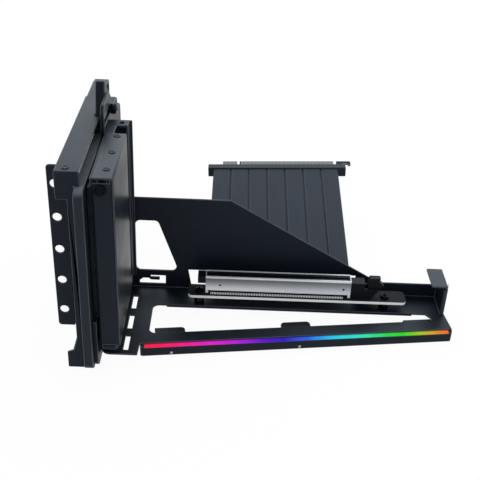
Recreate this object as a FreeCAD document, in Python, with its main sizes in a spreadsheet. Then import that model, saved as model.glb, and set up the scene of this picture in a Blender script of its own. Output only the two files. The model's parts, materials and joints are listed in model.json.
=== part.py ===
import FreeCAD, Part
import math
import os
import re
import Sketcher

# Vertical graphics-card bracket: a rear unit that screws to five case slots,
# and a carrier that slides on it with the card's slot box, tray, light bar and riser.
# Frame: millimetres. The origin is the middle case-screw hole on the flange's face,
# +X runs along the card, +Y away from the glass side, +Z up.

SIZES = (
    ("pitch", 20.32, "pitch of the case slots and of the card slots"),
    ("metal", 1.2, "thickness of the folded sheets"),
    ("seat_gap", 0.3, "running gap between parts that slide or turn"),
    ("bore_play", 0.2, "how much wider a bore is than its screw"),
    # slot panel with the case flange
    ("case_slots", 5, "case slots that the panel takes up"),
    ("case_hole", 5.0, "case-screw hole diameter"),
    ("flange_reach", 4.0, "from the hole line to the flange's free edge"),
    ("flange_spare", 1.0, "flange beyond the five pitches at each end"),
    ("flange_round", 2.0, "flange corner radius"),
    ("panel_x", 4.3, "from the hole line to the panel's outer face"),
    ("panel_deep", 112.0, "panel depth behind the flange"),
    ("panel_rim", 9.0, "panel rim round the port opening"),
    ("tongue_wide", 10.2, "width of a slot tongue"),
    ("tongue_long", 6.0, "length of a slot tongue"),
    # hood
    ("hood_top", 60.5, "hood top face"),
    ("hood_low", -62.7, "hood bottom face"),
    ("hood_front", -25.0, "hood front face"),
    ("hood_back", 104.0, "hood back face"),
    ("hood_right", 18.2, "right edge of the hood's top and bottom walls"),
    ("hood_step", 75.0, "where the top wall narrows"),
    ("hood_step_in", 1.0, "how much the top wall narrows"),
    ("notch_top", 45.0, "top of the driver notch beside the flange"),
    ("notch_low", -42.3, "bottom of the driver notch"),
    ("notch_x", 11.3, "how far the notch reaches into the front wall"),
    ("neck_x", 9.2, "shoulder of the foot"),
    ("neck_z", -50.2, "shoulder of the foot"),
    ("foot_top", -51.8, "top of the foot's free side"),
    ("hood_round", 1.0, "edge radius of the hood's folds"),
    ("hood_screw_x", 10.6, "hood screw"),
    ("hood_screw_y", -19.8, "hood screw"),
    # rear frame with its fin
    ("frame_x", 15.2, "frame left face"),
    ("frame_t", 5.3, "frame thickness"),
    ("frame_front", -30.0, "frame front edge"),
    ("frame_back", 100.0, "frame back edge"),
    ("frame_low", -61.2, "frame bottom edge"),
    ("frame_top", 52.3, "frame top edge"),
    ("frame_rim", 15.0, "frame rim round its opening"),
    ("frame_rim_top", 10.8, "frame rim above its opening"),
    ("frame_round", 5.0, "frame corner radius"),
    ("fin_front", 46.5, "foot of the fin's front edge"),
    ("fin_lean", 6.5, "how far the front edge leans back"),
    ("fin_top", 77.9, "top of the fin"),
    ("fin_flat", 3.0, "flat of the fin's top"),
    ("fin_back", 84.0, "foot of the fin's back slope"),
    ("fin_round", 2.0, "round of the fin's top"),
    # slide plate, knob and guide screws
    ("slide_t", 2.0, "slide plate thickness"),
    ("slide_front", -20.0, "slide plate front edge above its toe"),
    ("slide_toe", -26.0, "front edge of the plate's toe"),
    ("toe_top", -30.0, "top of the plate's toe"),
    ("slide_back", 96.0, "slide plate back edge"),
    ("slide_low", -61.5, "slide plate bottom edge"),
    ("slide_top", 50.0, "slide plate top edge"),
    ("slide_rim", 6.0, "plate left above and round the port opening"),
    ("lobe_front", 30.8, "front of the lobe under the knob"),
    ("lobe_back", 67.5, "foot of the lobe's back edge"),
    ("lobe_top", 72.0, "top of the lobe under the knob"),
    ("lobe_flat", 54.0, "back end of the lobe's top"),
    ("lobe_turn_y", 65.5, "shoulder of the lobe"),
    ("lobe_turn_z", 61.5, "shoulder of the lobe"),
    ("slide_round", 5.0, "slide plate corner radius"),
    ("travel", 20.0, "travel of the carrier away from the glass side"),
    ("knob_y", 55.0, "knob axis"),
    ("knob_z", 61.5, "knob axis"),
    ("knob_d", 6.0, "knob diameter"),
    ("knob_t", 3.5, "knob thickness"),
    ("knob_shank", 3.0, "knob screw diameter"),
    ("knob_flutes", 12, "flutes round the knob"),
    ("flute_d", 0.9, "flute diameter"),
    ("guide_z", -52.0, "guide screw height"),
    ("guide_one", 28.0, "front guide screw"),
    ("guide_two", 78.0, "back guide screw"),
    ("guide_d", 3.0, "guide screw shoulder"),
    ("guide_head_d", 6.0, "guide screw head"),
    ("guide_head_t", 1.8, "guide screw head"),
    # slot box and its cover
    ("box_wide", 11.5, "slot box width, to the face of its right wall"),
    ("box_front", -25.0, "slot box front face"),
    ("front_in", 1.6, "box's face set in from its left side"),
    ("joggle", 6.0, "step back of the sheet at that side"),
    ("box_low", -48.0, "slot box bottom face"),
    ("ledge_z", 57.0, "screw ledge top face"),
    ("box_seam", 0.8, "open seam under the ledge"),
    ("ledge_in", 1.5, "ledge's front edge behind the box's face"),
    ("hem_out", 1.2, "hem standing out at the foot of the box's face"),
    ("hem_high", 2.4, "height of that hem"),
    ("hem_in", 1.2, "hem's ends from the ends of that face"),
    ("box_lip", 1.6, "rear wall standing proud of the right wall"),
    ("box_flange", 6.9, "front flange on the slide plate"),
    ("slot_one", 35.95, "middle of the first card slot"),
    ("slot_open", 12.3, "width of a slot opening"),
    ("slot_low", -43.0, "lower end of a slot opening"),
    ("ledge_cut", 6.3, "how far a slot opening runs into the ledge"),
    ("ledge_screw", 3.9, "card screw line in from the right wall"),
    ("card_screw", 3.0, "card screw diameter"),
    ("cover_t", 0.9, "blank cover thickness"),
    ("cover_back", 29.4, "rear edge of the blank cover"),
    ("cover_low", -46.0, "lower edge of the blank cover"),
    ("tab_in", 1.5, "cover tab's edge from the box's left side"),
    ("fold_round", 0.8, "rounding of folded edges"),
    ("front_screw_x", 28.1, "front screw"),
    ("front_screw_z", 51.0, "front screw"),
    # tray and back plate
    ("floor_z", -56.7, "tray floor top face"),
    ("tray_front", -18.6, "front edge of the tray's left strip"),
    ("strip_end", 43.5, "right end of that edge"),
    ("tray_back", 50.0, "front face of the back plate"),
    ("tray_end", 228.4, "right end of the tray"),
    ("slit_shift", 3.45, "tongue slit from the middle of its slot"),
    ("slit_in", 2.2, "tongue slit from the right wall"),
    ("slit_wide", 2.8, "tongue slit width"),
    ("slit_long", 13.4, "tongue slit length"),
    ("bay_left", 48.2, "left edge of the tray's opening"),
    ("bay_spare", 9.2, "right end of the tray's opening from the tray's end"),
    ("bay_back_left", 30.9, "back edge of the opening at its left"),
    ("bay_back_right", 30.6, "back edge of the opening at its right"),
    ("bay_round", 4.0, "corner radius of the opening"),
    ("bay_tip", 2.8, "slant at the opening's right end"),
    ("lip_drop", 2.1, "depth of the lip folded down at the opening"),
    ("lip_inset", 8.0, "lip's ends from the ends of the opening"),
    ("plate_top", 7.3, "top edge of the back plate"),
    ("slope_start", 93.8, "where the back plate's top begins to fall"),
    ("slope_turn", 30.0, "fall of the back plate's top in degrees"),
    ("wall_top", -47.6, "top edge of the low wall at the right"),
    ("window_left", 35.9, "back plate window"),
    ("window_wide", 13.7, "window width at its top"),
    ("window_base", 26.3, "window width at its bottom"),
    ("window_top", -8.5, "back plate window"),
    ("window_low", -44.2, "back plate window"),
    ("window_round", 3.0, "window corner radius"),
    ("hook_hole_left", 37.8, "cut-out for a cable tie"),
    ("hook_hole_wide", 16.3, "cut-out for a cable tie"),
    ("hook_hole_top", -48.2, "cut-out for a cable tie"),
    ("hook_hole_low", -54.4, "cut-out for a cable tie"),
    ("tie_long", 12.6, "tongue's tip from the cut-out's left edge"),
    ("tie_root", 6.9, "root of the tongue"),
    ("tie_drop", 1.2, "tongue below the cut-out's top"),
    ("tie_wide", 2.2, "tongue in the cut-out"),
    ("cable_left", 68.4, "ribbon opening in the back plate"),
    ("cable_slant", 2.4, "slant of the ribbon opening's left edge"),
    ("cable_right", 174.0, "ribbon opening in the back plate"),
    ("cable_top", -43.0, "ribbon opening in the back plate"),
    ("end_tab_front", 31.9, "front edge of the tray's end tab"),
    ("end_tab_top", -40.0, "top of the tray's end tab"),
    ("foot_tab_front", -14.0, "front fixing tab on the slide plate"),
    ("foot_tab_wide", 16.0, "width of the fixing tabs"),
    ("foot_tab_rise", 6.5, "height of the fixing tabs"),
    # light bar, in its own turned frame
    ("bar_turn", 7.61, "turn of the light bar in degrees"),
    ("bar_y", -5.16, "where the bar's back edge meets the frame's YZ plane"),
    ("bar_sheet", 9.2, "depth of the tray's front strip"),
    ("bar_face", 11.2, "front face of the bar from its back edge"),
    ("bar_deep", 8.1, "bar's lower face below the tray floor's top"),
    ("bar_wall", 1.2, "wall of the bar's channel"),
    ("bar_inset", 0.8, "channel's back face from the strip's back edge"),
    ("bar_start", 43.2, "left end along the bar"),
    ("bar_over", 0.8, "right end of the bar past the tray's end"),
    ("bar_round", 1.5, "round of the bar's front corners"),
    ("glow_inset", 2.5, "end caps of the bar"),
    ("glow_top", 0.4, "diffuser's top edge below the tray floor's top"),
    ("glow_drop", 1.5, "foot of the diffuser's sloped face"),
    ("glow_seat", 2.1, "diffuser's seat below the tray floor's top"),
    ("glow_stem", 0.8, "diffuser's stem inside the channel"),
    ("led_board_t", 0.8, "light strip thickness"),
    ("led_board_wide", 4.5, "light strip width"),
    ("led_size", 3.5, "side of one light"),
    ("led_high", 1.0, "height of one light"),
    ("led_count", 22, "lights on the strip"),
    ("led_margin", 6.0, "strip's ends from the bar's ends"),
    ("pad_reach", 6.4, "reach of the bar's mounting pads"),
    ("pad_t", 2.0, "thickness of the mounting pads"),
    ("pad_round", 2.5, "corner radius of the mounting pads"),
    ("pad_inset", 18.1, "outer pads' middles from the bar's ends"),
    ("pad_wide", 18.0, "width of the mounting pads"),
    ("light_head_d", 1.8, "light bar screw head diameter"),
    ("light_head_t", 0.4, "light bar screw head height"),
    ("light_screw_d", 1.2, "light bar screw diameter"),
    ("light_screw_up", 1.9, "light bar screws above the bar's lower face"),
    # riser board, slot and latch
    ("board_left", 69.4, "riser board left end"),
    ("board_end", 12.9, "riser board past the right screw"),
    ("board_front", 30.8, "riser board front edge"),
    ("board_deep", 12.4, "riser board depth"),
    ("board_z", -49.0, "riser board top face"),
    ("board_t", 1.8, "riser board thickness"),
    ("board_round", 3.0, "riser board corner radius"),
    ("post_one", 76.2, "left board screw"),
    ("post_gap", 8.6, "right board screw from the latch pivot"),
    ("post_y", 36.0, "board screws"),
    ("post_d", 6.0, "standoff diameter"),
    ("board_screw", 2.8, "board screw diameter"),
    ("board_head_d", 5.2, "board screw head"),
    ("board_head_t", 1.8, "board screw head"),
    ("slot_left", 80.0, "left end of the slot's shield"),
    ("slot_long", 89.3, "length of the slot's shield"),
    ("slot_nose", 4.8, "plastic standing out at the shield's left end"),
    ("nose_rise", 6.8, "that plastic above the board"),
    ("slot_y", 37.75, "middle plane of the card's edge"),
    ("slot_deep", 6.9, "slot body width across the card"),
    ("slot_high", 11.7, "slot body height above the board"),
    ("mouth_wide", 1.9, "slot mouth width"),
    ("mouth_deep", 8.0, "slot mouth depth"),
    ("mouth_end", 1.0, "wall at the ends of the mouth"),
    ("key_at", 14.2, "key rib from the mouth's left end"),
    ("key_wide", 1.7, "key rib width"),
    ("shield_t", 0.4, "shield sheet thickness"),
    ("shield_rise", 2.0, "shield's lower edge above the board"),
    ("shield_legs", 2, "shield legs on each side"),
    ("leg_wide", 1.6, "shield leg width"),
    ("shield_hole", 1.5, "locating hole in the shield"),
    ("shield_hole_in", 8.9, "locating hole from the shield's left end"),
    ("lip_wide", 0.5, "lips of the shield's top"),
    ("pin_count", 82, "contacts in one row"),
    ("pin_pitch", 1.0, "contact pitch"),
    ("pin_wide", 0.5, "contact width"),
    ("pin_long", 1.6, "contact tail in front of the shield"),
    ("pin_t", 0.5, "contact tail height"),
    ("pin_in", 3.4, "first contact from the shield's left end"),
    ("tail_long", 8.6, "solid tail of the slot body past the shield"),
    ("tail_high", 10.5, "height of that tail above the board"),
    ("cheek_reach", 5.0, "latch cheeks past the pivot"),
    ("cheek_high", 6.6, "height of the latch cheeks above the board"),
    ("cheek_t", 1.1, "latch cheek thickness"),
    ("latch_gap", 4.5, "latch pivot from the slot's tail"),
    ("latch_rise", 4.4, "latch pivot above the board"),
    ("latch_pin", 2.0, "latch trunnion diameter"),
    ("latch_long", 5.0, "latch finger pad past the pivot"),
    ("latch_high", 9.1, "latch top above the pivot"),
    ("latch_heel", 2.4, "latch behind its pivot"),
    ("latch_sole", 3.4, "latch below its pivot"),
    ("latch_pad", 1.9, "thickness of the finger pad"),
    ("latch_nose", 7.4, "latch nose past the pivot"),
    ("latch_nose_up", 3.7, "latch nose above the pivot"),
    # ribbon and plug
    ("ribbon_left", 80.0, "ribbon left edge"),
    ("ribbon_wide", 91.4, "ribbon width"),
    ("ribbon_t", 1.2, "ribbon thickness"),
    ("ribbon_lanes", 7, "lanes across the ribbon"),
    ("ribbon_groove", 0.9, "groove between two lanes"),
    ("groove_deep", 0.35, "depth of a groove"),
    ("ribbon_start", 41.8, "ribbon's end on the board"),
    ("ribbon_flat", 49.0, "where the ribbon begins to rise"),
    ("plug_y", 166.0, "plug's front face"),
    ("plug_z", -29.6, "ribbon's top face at the plug"),
    ("plug_tilt", 2.5, "tilt of the plug, right end up, in degrees"),
    ("plug_left", 76.0, "plug housing left end"),
    ("plug_long", 101.5, "plug housing length"),
    ("plug_deep", 7.0, "plug housing depth"),
    ("plug_over", 0.8, "housing top above the ribbon"),
    ("plug_high", 7.0, "plug housing height"),
    ("plug_round", 0.8, "plug housing edge radius"),
    ("card_t", 1.6, "edge board thickness"),
    ("card_drop", 1.6, "edge board below the housing's top"),
    ("card_seat", 4.0, "edge board inside the housing"),
    ("card_in", 10.7, "finger edge's left end from the housing's left end"),
    ("card_long", 82.4, "finger edge length"),
    ("card_out", 7.6, "finger edge past the housing"),
    ("card_key_at", 10.5, "key notch from the finger edge's left end"),
    ("card_key", 1.9, "key notch width"),
    ("card_key_deep", 6.0, "key notch depth"),
    ("card_gap", 2.4, "gap before the retaining hook"),
    ("card_hook", 10.4, "retaining hook length"),
    ("card_hook_wide", 3.4, "retaining hook width"),
    ("card_hook_tip", 2.0, "retaining hook's turned tip"),
    # end hook
    ("hook_wide", 9.9, "width of the end hook's top"),
    ("hook_front", 32.8, "front edge of the end hook's top"),
    ("hook_long", 20.2, "depth of the end hook's top"),
    ("hook_z", -37.4, "top face of the end hook"),
    ("hook_t", 1.2, "end hook thickness at its top"),
    ("hook_round", 1.0, "corner radius of the end hook"),
    ("hook_screw_y", 42.6, "end hook screw"),
    ("hook_screw_z", -43.2, "end hook screw"),
    ("hook_screw_d", 3.0, "end hook screw diameter"),
    ("hook_head_d", 4.2, "end hook screw head diameter"),
    ("hook_head_t", 3.2, "end hook screw head height"),
    # small screws
    ("flat_head_d", 4.0, "low screw head diameter"),
    ("flat_head_t", 0.4, "low screw head height"),
    ("pan_head_d", 6.4, "pan screw head diameter"),
    ("pan_head_t", 1.4, "pan screw head height"),
    ("screw_long", 4.5, "length of the short screws"),
    ("head_sides", 16, "sides of a screw head"),
    ("shank_sides", 10, "sides of a screw shank"),
    ("post_sides", 6, "sides of a standoff"),
)

HALF = "(case_slots * pitch / 2 + flange_spare)"
HOOD_X = "(panel_x + metal)"
FRAME_R = "(frame_x + frame_t)"
SLIDE_L = "(frame_x + frame_t + seat_gap)"
SLIDE_R = "(frame_x + frame_t + seat_gap + slide_t)"
WALL_R = f"({SLIDE_R} + box_wide)"
COVER_R = f"({WALL_R} + cover_t)"
FLOOR_LOW = "(floor_z - metal)"
PLATE_R = "(tray_back + metal)"
BAR_STOP = "((tray_end + bar_over) / cos(bar_turn))"
PADS = ("(bar_start + pad_inset)", f"((bar_start + {BAR_STOP}) / 2)", f"({BAR_STOP} - pad_inset)")
BAY_RIGHT = "(tray_end - bay_spare)"
SLOT_FRONT = "(slot_y - slot_deep / 2)"
SLOT_BACK = "(slot_y + slot_deep / 2)"
SLOT_RIGHT = "(slot_left + slot_long)"
TAIL_RIGHT = f"({SLOT_RIGHT} + tail_long)"
LATCH_X = f"({TAIL_RIGHT} + latch_gap)"
POSTS = ("post_one", f"({LATCH_X} + post_gap)")
BOARD_RIGHT = f"({POSTS[1]} + board_end)"
SLOT_RANGE = range(3)

doc = FreeCAD.newDocument("vertical_gpu_bracket")
sheet = doc.addObject("Spreadsheet::Sheet", "dims")
for row, (alias, value, note) in enumerate(SIZES, 1):
    sheet.set(f"A{row}", note)
    sheet.set(f"B{row}", str(value))
    sheet.setAlias(f"B{row}", alias)
doc.recompute()

NODES = []


def bound(expression):
    """The expression with every alias written as a cell of the sheet."""
    return re.sub(r"\b([a-z][a-z_0-9]*)\b(?!\()", r"dims.\1", expression)


def number(expression):
    """The expression's value."""
    return float(sheet.evalExpression(expression))


def new_body(label):
    body = doc.addObject("PartDesign::Body", label)
    body.Label = label
    NODES.append(body)
    return body


def origin_part(body, role):
    return next(item for item in body.Origin.OriginFeatures if item.Role == role)


def tie(sketch, kind, place, expression):
    """Adds one dimension from the sketch's origin, or one radius, tied to the sheet."""
    index = sketch.addConstraint(Sketcher.Constraint(kind, *place, 1.0))
    sketch.setExpression(f"Constraints[{index}]", bound(expression))


def draw_outline(sketch, corners):
    """A closed outline of straight lines whose corners are tied to the sheet."""
    count = len(corners)
    first = sketch.GeometryCount
    turns = [math.tau * i / count for i in range(count)]
    ring = [FreeCAD.Vector(math.cos(turn), math.sin(turn), 0) for turn in turns]
    for i in range(count):
        sketch.addGeometry(Part.LineSegment(ring[i], ring[(i + 1) % count]), False)
    for i in range(count):
        sketch.addConstraint(Sketcher.Constraint("Coincident", first + i, 2, first + (i + 1) % count, 1))
    for i, (across, up) in enumerate(corners):
        tie(sketch, "DistanceX", (-1, 1, first + i, 1), across)
        tie(sketch, "DistanceY", (-1, 1, first + i, 1), up)


def draw_circle(sketch, across, up, diameter):
    index = sketch.addGeometry(Part.Circle(FreeCAD.Vector(0, 0, 0), FreeCAD.Vector(0, 0, 1), 1.0), False)
    tie(sketch, "DistanceX", (-1, 1, index, 3), across)
    tie(sketch, "DistanceY", (-1, 1, index, 3), up)
    tie(sketch, "Diameter", (index,), diameter)


def flat_sketch(body, plane, offset, outlines, circles=()):
    """A sketch of the outlines on a plane, moved along the plane's normal."""
    sketch = body.newObject("Sketcher::SketchObject", f"{body.Label}_sketch")
    sketch.AttachmentSupport = [(origin_part(body, f"{plane}_Plane"), "")]
    sketch.MapMode = "FlatFace"
    sketch.setExpression("AttachmentOffset.Base.z", bound(offset))
    for corners in outlines:
        draw_outline(sketch, corners)
    for circle in circles:
        draw_circle(sketch, *circle)
    doc.recompute()
    return sketch


def loft(body, *stations):
    """A ruled loft along Y between outlines, each with its place on Y."""
    sketches = [flat_sketch(body, "XZ", f"-({place})", [corners]) for place, corners in stations]
    step = body.newObject("PartDesign::AdditiveLoft", f"{body.Label}_loft")
    step.Profile = sketches[0]
    step.Sections = sketches[1:]
    step.Ruled = True
    body.Tip = step
    doc.recompute()
    return step


def extrude(kind, body, plane, low, high, outlines, circles):
    """A pad or a pocket of the outlines between two heights on the axis across the plane."""
    sketch = flat_sketch(body, plane, f"-({high})" if plane == "XZ" else low, outlines, circles)
    before = body.Shape.Volume if body.Tip else 0.0
    step = body.newObject(f"PartDesign::{kind}", f"{body.Label}_{kind.lower()}")
    step.Profile = sketch
    step.setExpression("Length", bound(f"({high}) - ({low})"))
    step.Reversed = kind == "Pocket"
    doc.recompute()
    change = body.Shape.Volume - before
    if (change > 1e-6) != (kind == "Pad") or abs(change) < 1e-6:
        raise RuntimeError(f"{body.Label}: {kind} changed the volume by {change:.6f}")
    return step


def add(body, plane, low, high, *outlines, circles=()):
    return extrude("Pad", body, plane, low, high, outlines, circles)


def cut(body, plane, low, high, *outlines, circles=()):
    return extrude("Pocket", body, plane, low, high, outlines, circles)


def box(left, right, low, high):
    """A rectangle's corners, for an outline."""
    return ((left, low), (right, low), (right, high), (left, high))


def repeat(body, steps, axis, spacing, count):
    """A row of copies of the steps along one of the body's axes."""
    row = body.newObject("PartDesign::LinearPattern", f"{body.Label}_row")
    row.Originals = steps
    row.Direction = (origin_part(body, f"{axis}_Axis"), [""])
    row.Mode = "Spacing"
    row.setExpression("Offset", bound(spacing))
    row.setExpression("Occurrences", bound(count))
    body.Tip = row
    doc.recompute()
    return row


def round_edges(body, radius, axis, *places):
    """Rounds the straight edges along the axis that pass through the places across it."""
    across = [i for i in range(3) if i != "XYZ".index(axis)]
    wanted = [(number(a), number(b)) for a, b in places]
    names = []
    for i, edge in enumerate(body.Shape.Edges, 1):
        if len(edge.Vertexes) != 2 or edge.Curve.TypeId != "Part::GeomLine":
            continue
        ends = [body.Placement.inverse().multVec(vertex.Point) for vertex in edge.Vertexes]
        if any(abs(ends[0][k] - ends[1][k]) > 1e-4 for k in across):
            continue
        if any(all(abs(ends[0][k] - place[j]) < 1e-3 for j, k in enumerate(across)) for place in wanted):
            names.append(f"Edge{i}")
    if not names:
        raise RuntimeError(f"{body.Label}: no edge to round along {axis}")
    base = body.Tip
    step = body.newObject("PartDesign::Fillet", f"{body.Label}_round")
    step.Base = (base, names)
    step.setExpression("Radius", bound(radius))
    body.Tip = step
    doc.recompute()
    return step


def rod_along(name, axis, seat, start, stop, diameter, sides=None):
    """A cylinder or a prism along an axis, between two heights on it, through the seat's point."""
    if sides:
        rod = doc.addObject("Part::Prism", name)
        rod.setExpression("Polygon", bound(sides))
        rod.setExpression("Circumradius", bound(f"({diameter}) / 2"))
    else:
        rod = doc.addObject("Part::Cylinder", name)
        rod.setExpression("Radius", bound(f"({diameter}) / 2"))
    rod.setExpression("Height", bound(f"({stop}) - ({start})"))
    turn = {"X": FreeCAD.Rotation(FreeCAD.Vector(0, 1, 0), 90),
            "Y": FreeCAD.Rotation(FreeCAD.Vector(1, 0, 0), -90),
            "Z": FreeCAD.Rotation()}[axis]
    rod.Placement = FreeCAD.Placement(FreeCAD.Vector(0, 0, 0), turn)
    places = dict(zip([letter for letter in "XYZ" if letter != axis], seat))
    places[axis] = start
    for letter, expression in places.items():
        rod.setExpression(f"Placement.Base.{letter.lower()}", bound(expression))
    return rod


def screws(label, axis, seats):
    """A group of screws: each seat is its place across the axis, then the heights where the head
    and the shank begin and end, and their diameters."""
    group = []
    for i, (seat, head, head_d, shank, shank_d) in enumerate(seats):
        top = rod_along(f"{label}_head_{i}", axis, seat, *head, head_d, "head_sides")
        rod = rod_along(f"{label}_shank_{i}", axis, seat, *shank, shank_d, "shank_sides")
        one = doc.addObject("Part::Fuse", f"{label}_{i}")
        one.Base = top
        one.Tool = rod
        group.append(one)
    if len(group) == 1:
        node = group[0]
    else:
        node = doc.addObject("Part::Compound", label)
        node.Links = group
    node.Label = label
    NODES.append(node)
    return node


def slot_panel():
    """The folded panel with the case flange, its five screw holes and its far tongues."""
    body = new_body("slot_panel")
    right = HOOD_X
    add(body, "XZ", "0", "metal", box("-flange_reach", right, f"-{HALF}", HALF))
    add(body, "YZ", "panel_x", right, box("0", "panel_deep", f"-{HALF}", HALF))
    tongues = []
    slots = int(number("case_slots"))
    for k in range(slots):
        middle = f"({k - (slots - 1) / 2}) * pitch"
        tongues.append(box("panel_deep", "panel_deep + tongue_long",
                           f"{middle} - tongue_wide / 2", f"{middle} + tongue_wide / 2"))
    add(body, "YZ", "panel_x", right, *tongues)
    cut(body, "YZ", "panel_x", right,
        box("panel_rim", "panel_deep - panel_rim", f"panel_rim - {HALF}", f"{HALF} - panel_rim"))
    holes = [("0", f"({k - (slots - 1) / 2}) * pitch", "case_hole") for k in range(slots)]
    cut(body, "XZ", "0", "metal", circles=holes)
    round_edges(body, "flange_round", "Y", ("-flange_reach", HALF), ("-flange_reach", f"-{HALF}"))


def rear_hood():
    """The shallow folded pan round the panel, notched beside the flange so that a driver fits."""
    body = new_body("rear_hood")
    inner = f"({HOOD_X} + metal)"
    add(body, "YZ", HOOD_X, inner, box("hood_front", "hood_back", "hood_low", "hood_top"))
    add(body, "XY", "hood_top - metal", "hood_top", box(HOOD_X, "hood_right", "hood_front", "hood_back"))
    add(body, "XY", "hood_low", "hood_low + metal", box(HOOD_X, "hood_right", "hood_front", "hood_back"))
    add(body, "XZ", "hood_front", "hood_front + metal", box(HOOD_X, "frame_x", "hood_low", "hood_top"))
    add(body, "XZ", "hood_front", "hood_front + metal",
        box("frame_x", "hood_right", "frame_top + seat_gap", "hood_top"))
    add(body, "XZ", "hood_back - metal", "hood_back", box(HOOD_X, "frame_x", "hood_low", "hood_top"))
    cut(body, "YZ", HOOD_X, inner,
        box("panel_rim", "hood_back - panel_rim", f"panel_rim - {HALF}", f"{HALF} - panel_rim"))
    cut(body, "YZ", HOOD_X, inner, box("hood_front + metal", "metal", "hood_low + metal", "notch_top"))
    cut(body, "XZ", "hood_front", "hood_front + metal",
        ((HOOD_X, "notch_top"), (HOOD_X, "foot_top"), ("neck_x", "neck_z"),
         ("notch_x", "notch_low"), ("notch_x", "notch_top")))
    cut(body, "XY", "hood_top - metal", "hood_top",
        box(HOOD_X, f"{HOOD_X} + hood_step_in", "hood_step", "hood_back"),
        box("frame_x", "hood_right", "fin_front - hood_step_in", "hood_back"))
    cut(body, "XY", "hood_top - metal", "hood_top",
        circles=[("hood_screw_x", "hood_screw_y", "card_screw + bore_play")])
    round_edges(body, "hood_round", "X", ("hood_front", "hood_top"), ("hood_front", "hood_low"))


def rear_frame():
    """The frame plate inside the hood, with the fin that carries the knob."""
    body = new_body("rear_frame")
    add(body, "YZ", "frame_x", FRAME_R,
        (("frame_front", "frame_low"), ("frame_back", "frame_low"), ("frame_back", "frame_top"),
         ("fin_back", "frame_top"), ("fin_front + fin_lean + fin_flat", "fin_top"),
         ("fin_front + fin_lean", "fin_top"), ("fin_front", "frame_top"), ("frame_front", "frame_top")))
    cut(body, "YZ", "frame_x", FRAME_R,
        box("frame_front + frame_rim", "frame_back - frame_rim",
            "frame_low + frame_rim", "frame_top - frame_rim_top"))
    cut(body, "YZ", "frame_x", FRAME_R,
        circles=[("knob_y", "knob_z", "knob_shank + bore_play"),
                 ("guide_one", "guide_z", "guide_d + bore_play"),
                 ("guide_two", "guide_z", "guide_d + bore_play")])
    round_edges(body, "frame_round", "X", ("frame_front", "frame_low"), ("frame_front", "frame_top"),
                ("frame_back", "frame_low"), ("frame_back", "frame_top"))
    round_edges(body, "fin_round", "X", ("fin_front + fin_lean", "fin_top"),
                ("fin_front + fin_lean + fin_flat", "fin_top"))


def slide_plate():
    """The carrier's plate, which laps the frame and slides along it."""
    body = new_body("slide_plate")
    add(body, "YZ", SLIDE_L, SLIDE_R,
        (("slide_toe", "slide_low"), ("slide_back", "slide_low"), ("slide_back", "slide_top"),
         ("lobe_back", "slide_top"), ("lobe_turn_y", "lobe_turn_z"), ("lobe_flat", "lobe_top"),
         ("lobe_front", "lobe_top"), ("lobe_front", "slide_top"), ("slide_front", "slide_top"),
         ("slide_front", "toe_top"), ("slide_toe", "toe_top")))
    first = "slot_one + slot_open / 2"
    last = f"slot_one - {SLOT_RANGE[-1]} * pitch - slot_open / 2"
    cut(body, "YZ", SLIDE_L, SLIDE_R, box(last, first, "slot_low", "slide_top - slide_rim"))
    tracks = []
    for y, z, d in (("knob_y", "knob_z", "knob_shank"), ("guide_one", "guide_z", "guide_d"),
                    ("guide_two", "guide_z", "guide_d")):
        reach = f"({d} / 2 + seat_gap)"
        tracks.append(box(f"{y} - travel - {reach}", f"{y} + {reach}", f"{z} - {reach}", f"{z} + {reach}"))
    cut(body, "YZ", SLIDE_L, SLIDE_R, *tracks)
    cut(body, "YZ", SLIDE_L, SLIDE_R,
        circles=[(y, z, "card_screw + bore_play") for y, z in PLATE_SCREWS])
    round_edges(body, "slide_round", "X", ("slide_toe", "slide_low"), ("slide_back", "slide_low"),
                ("slide_back", "slide_top"), ("lobe_front", "lobe_top"))


FRONT_LEFT = f"({SLIDE_R} + front_in)"
FLANGE_FRONT = "(box_front + joggle)"
BOX_FLANGE_MIDDLE = "(box_front + joggle + metal + box_flange / 2)"
REAR_FLANGE_MIDDLE = "(slot_one + slot_open / 2 + tray_back - metal) / 2"
FOOT_TAB_Z = "floor_z + foot_tab_rise / 2"
BACK_TAB_FRONT = "(tray_back - foot_tab_wide)"
BOX_SCREW_Z = ("-pitch * 1.5", "pitch * 1.5")
PLATE_SCREWS = tuple((BOX_FLANGE_MIDDLE, z) for z in BOX_SCREW_Z) + tuple(
    (REAR_FLANGE_MIDDLE, z) for z in BOX_SCREW_Z) + (
    ("foot_tab_front + foot_tab_wide / 2", FOOT_TAB_Z), (f"{BACK_TAB_FRONT} + foot_tab_wide / 2", FOOT_TAB_Z))


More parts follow.
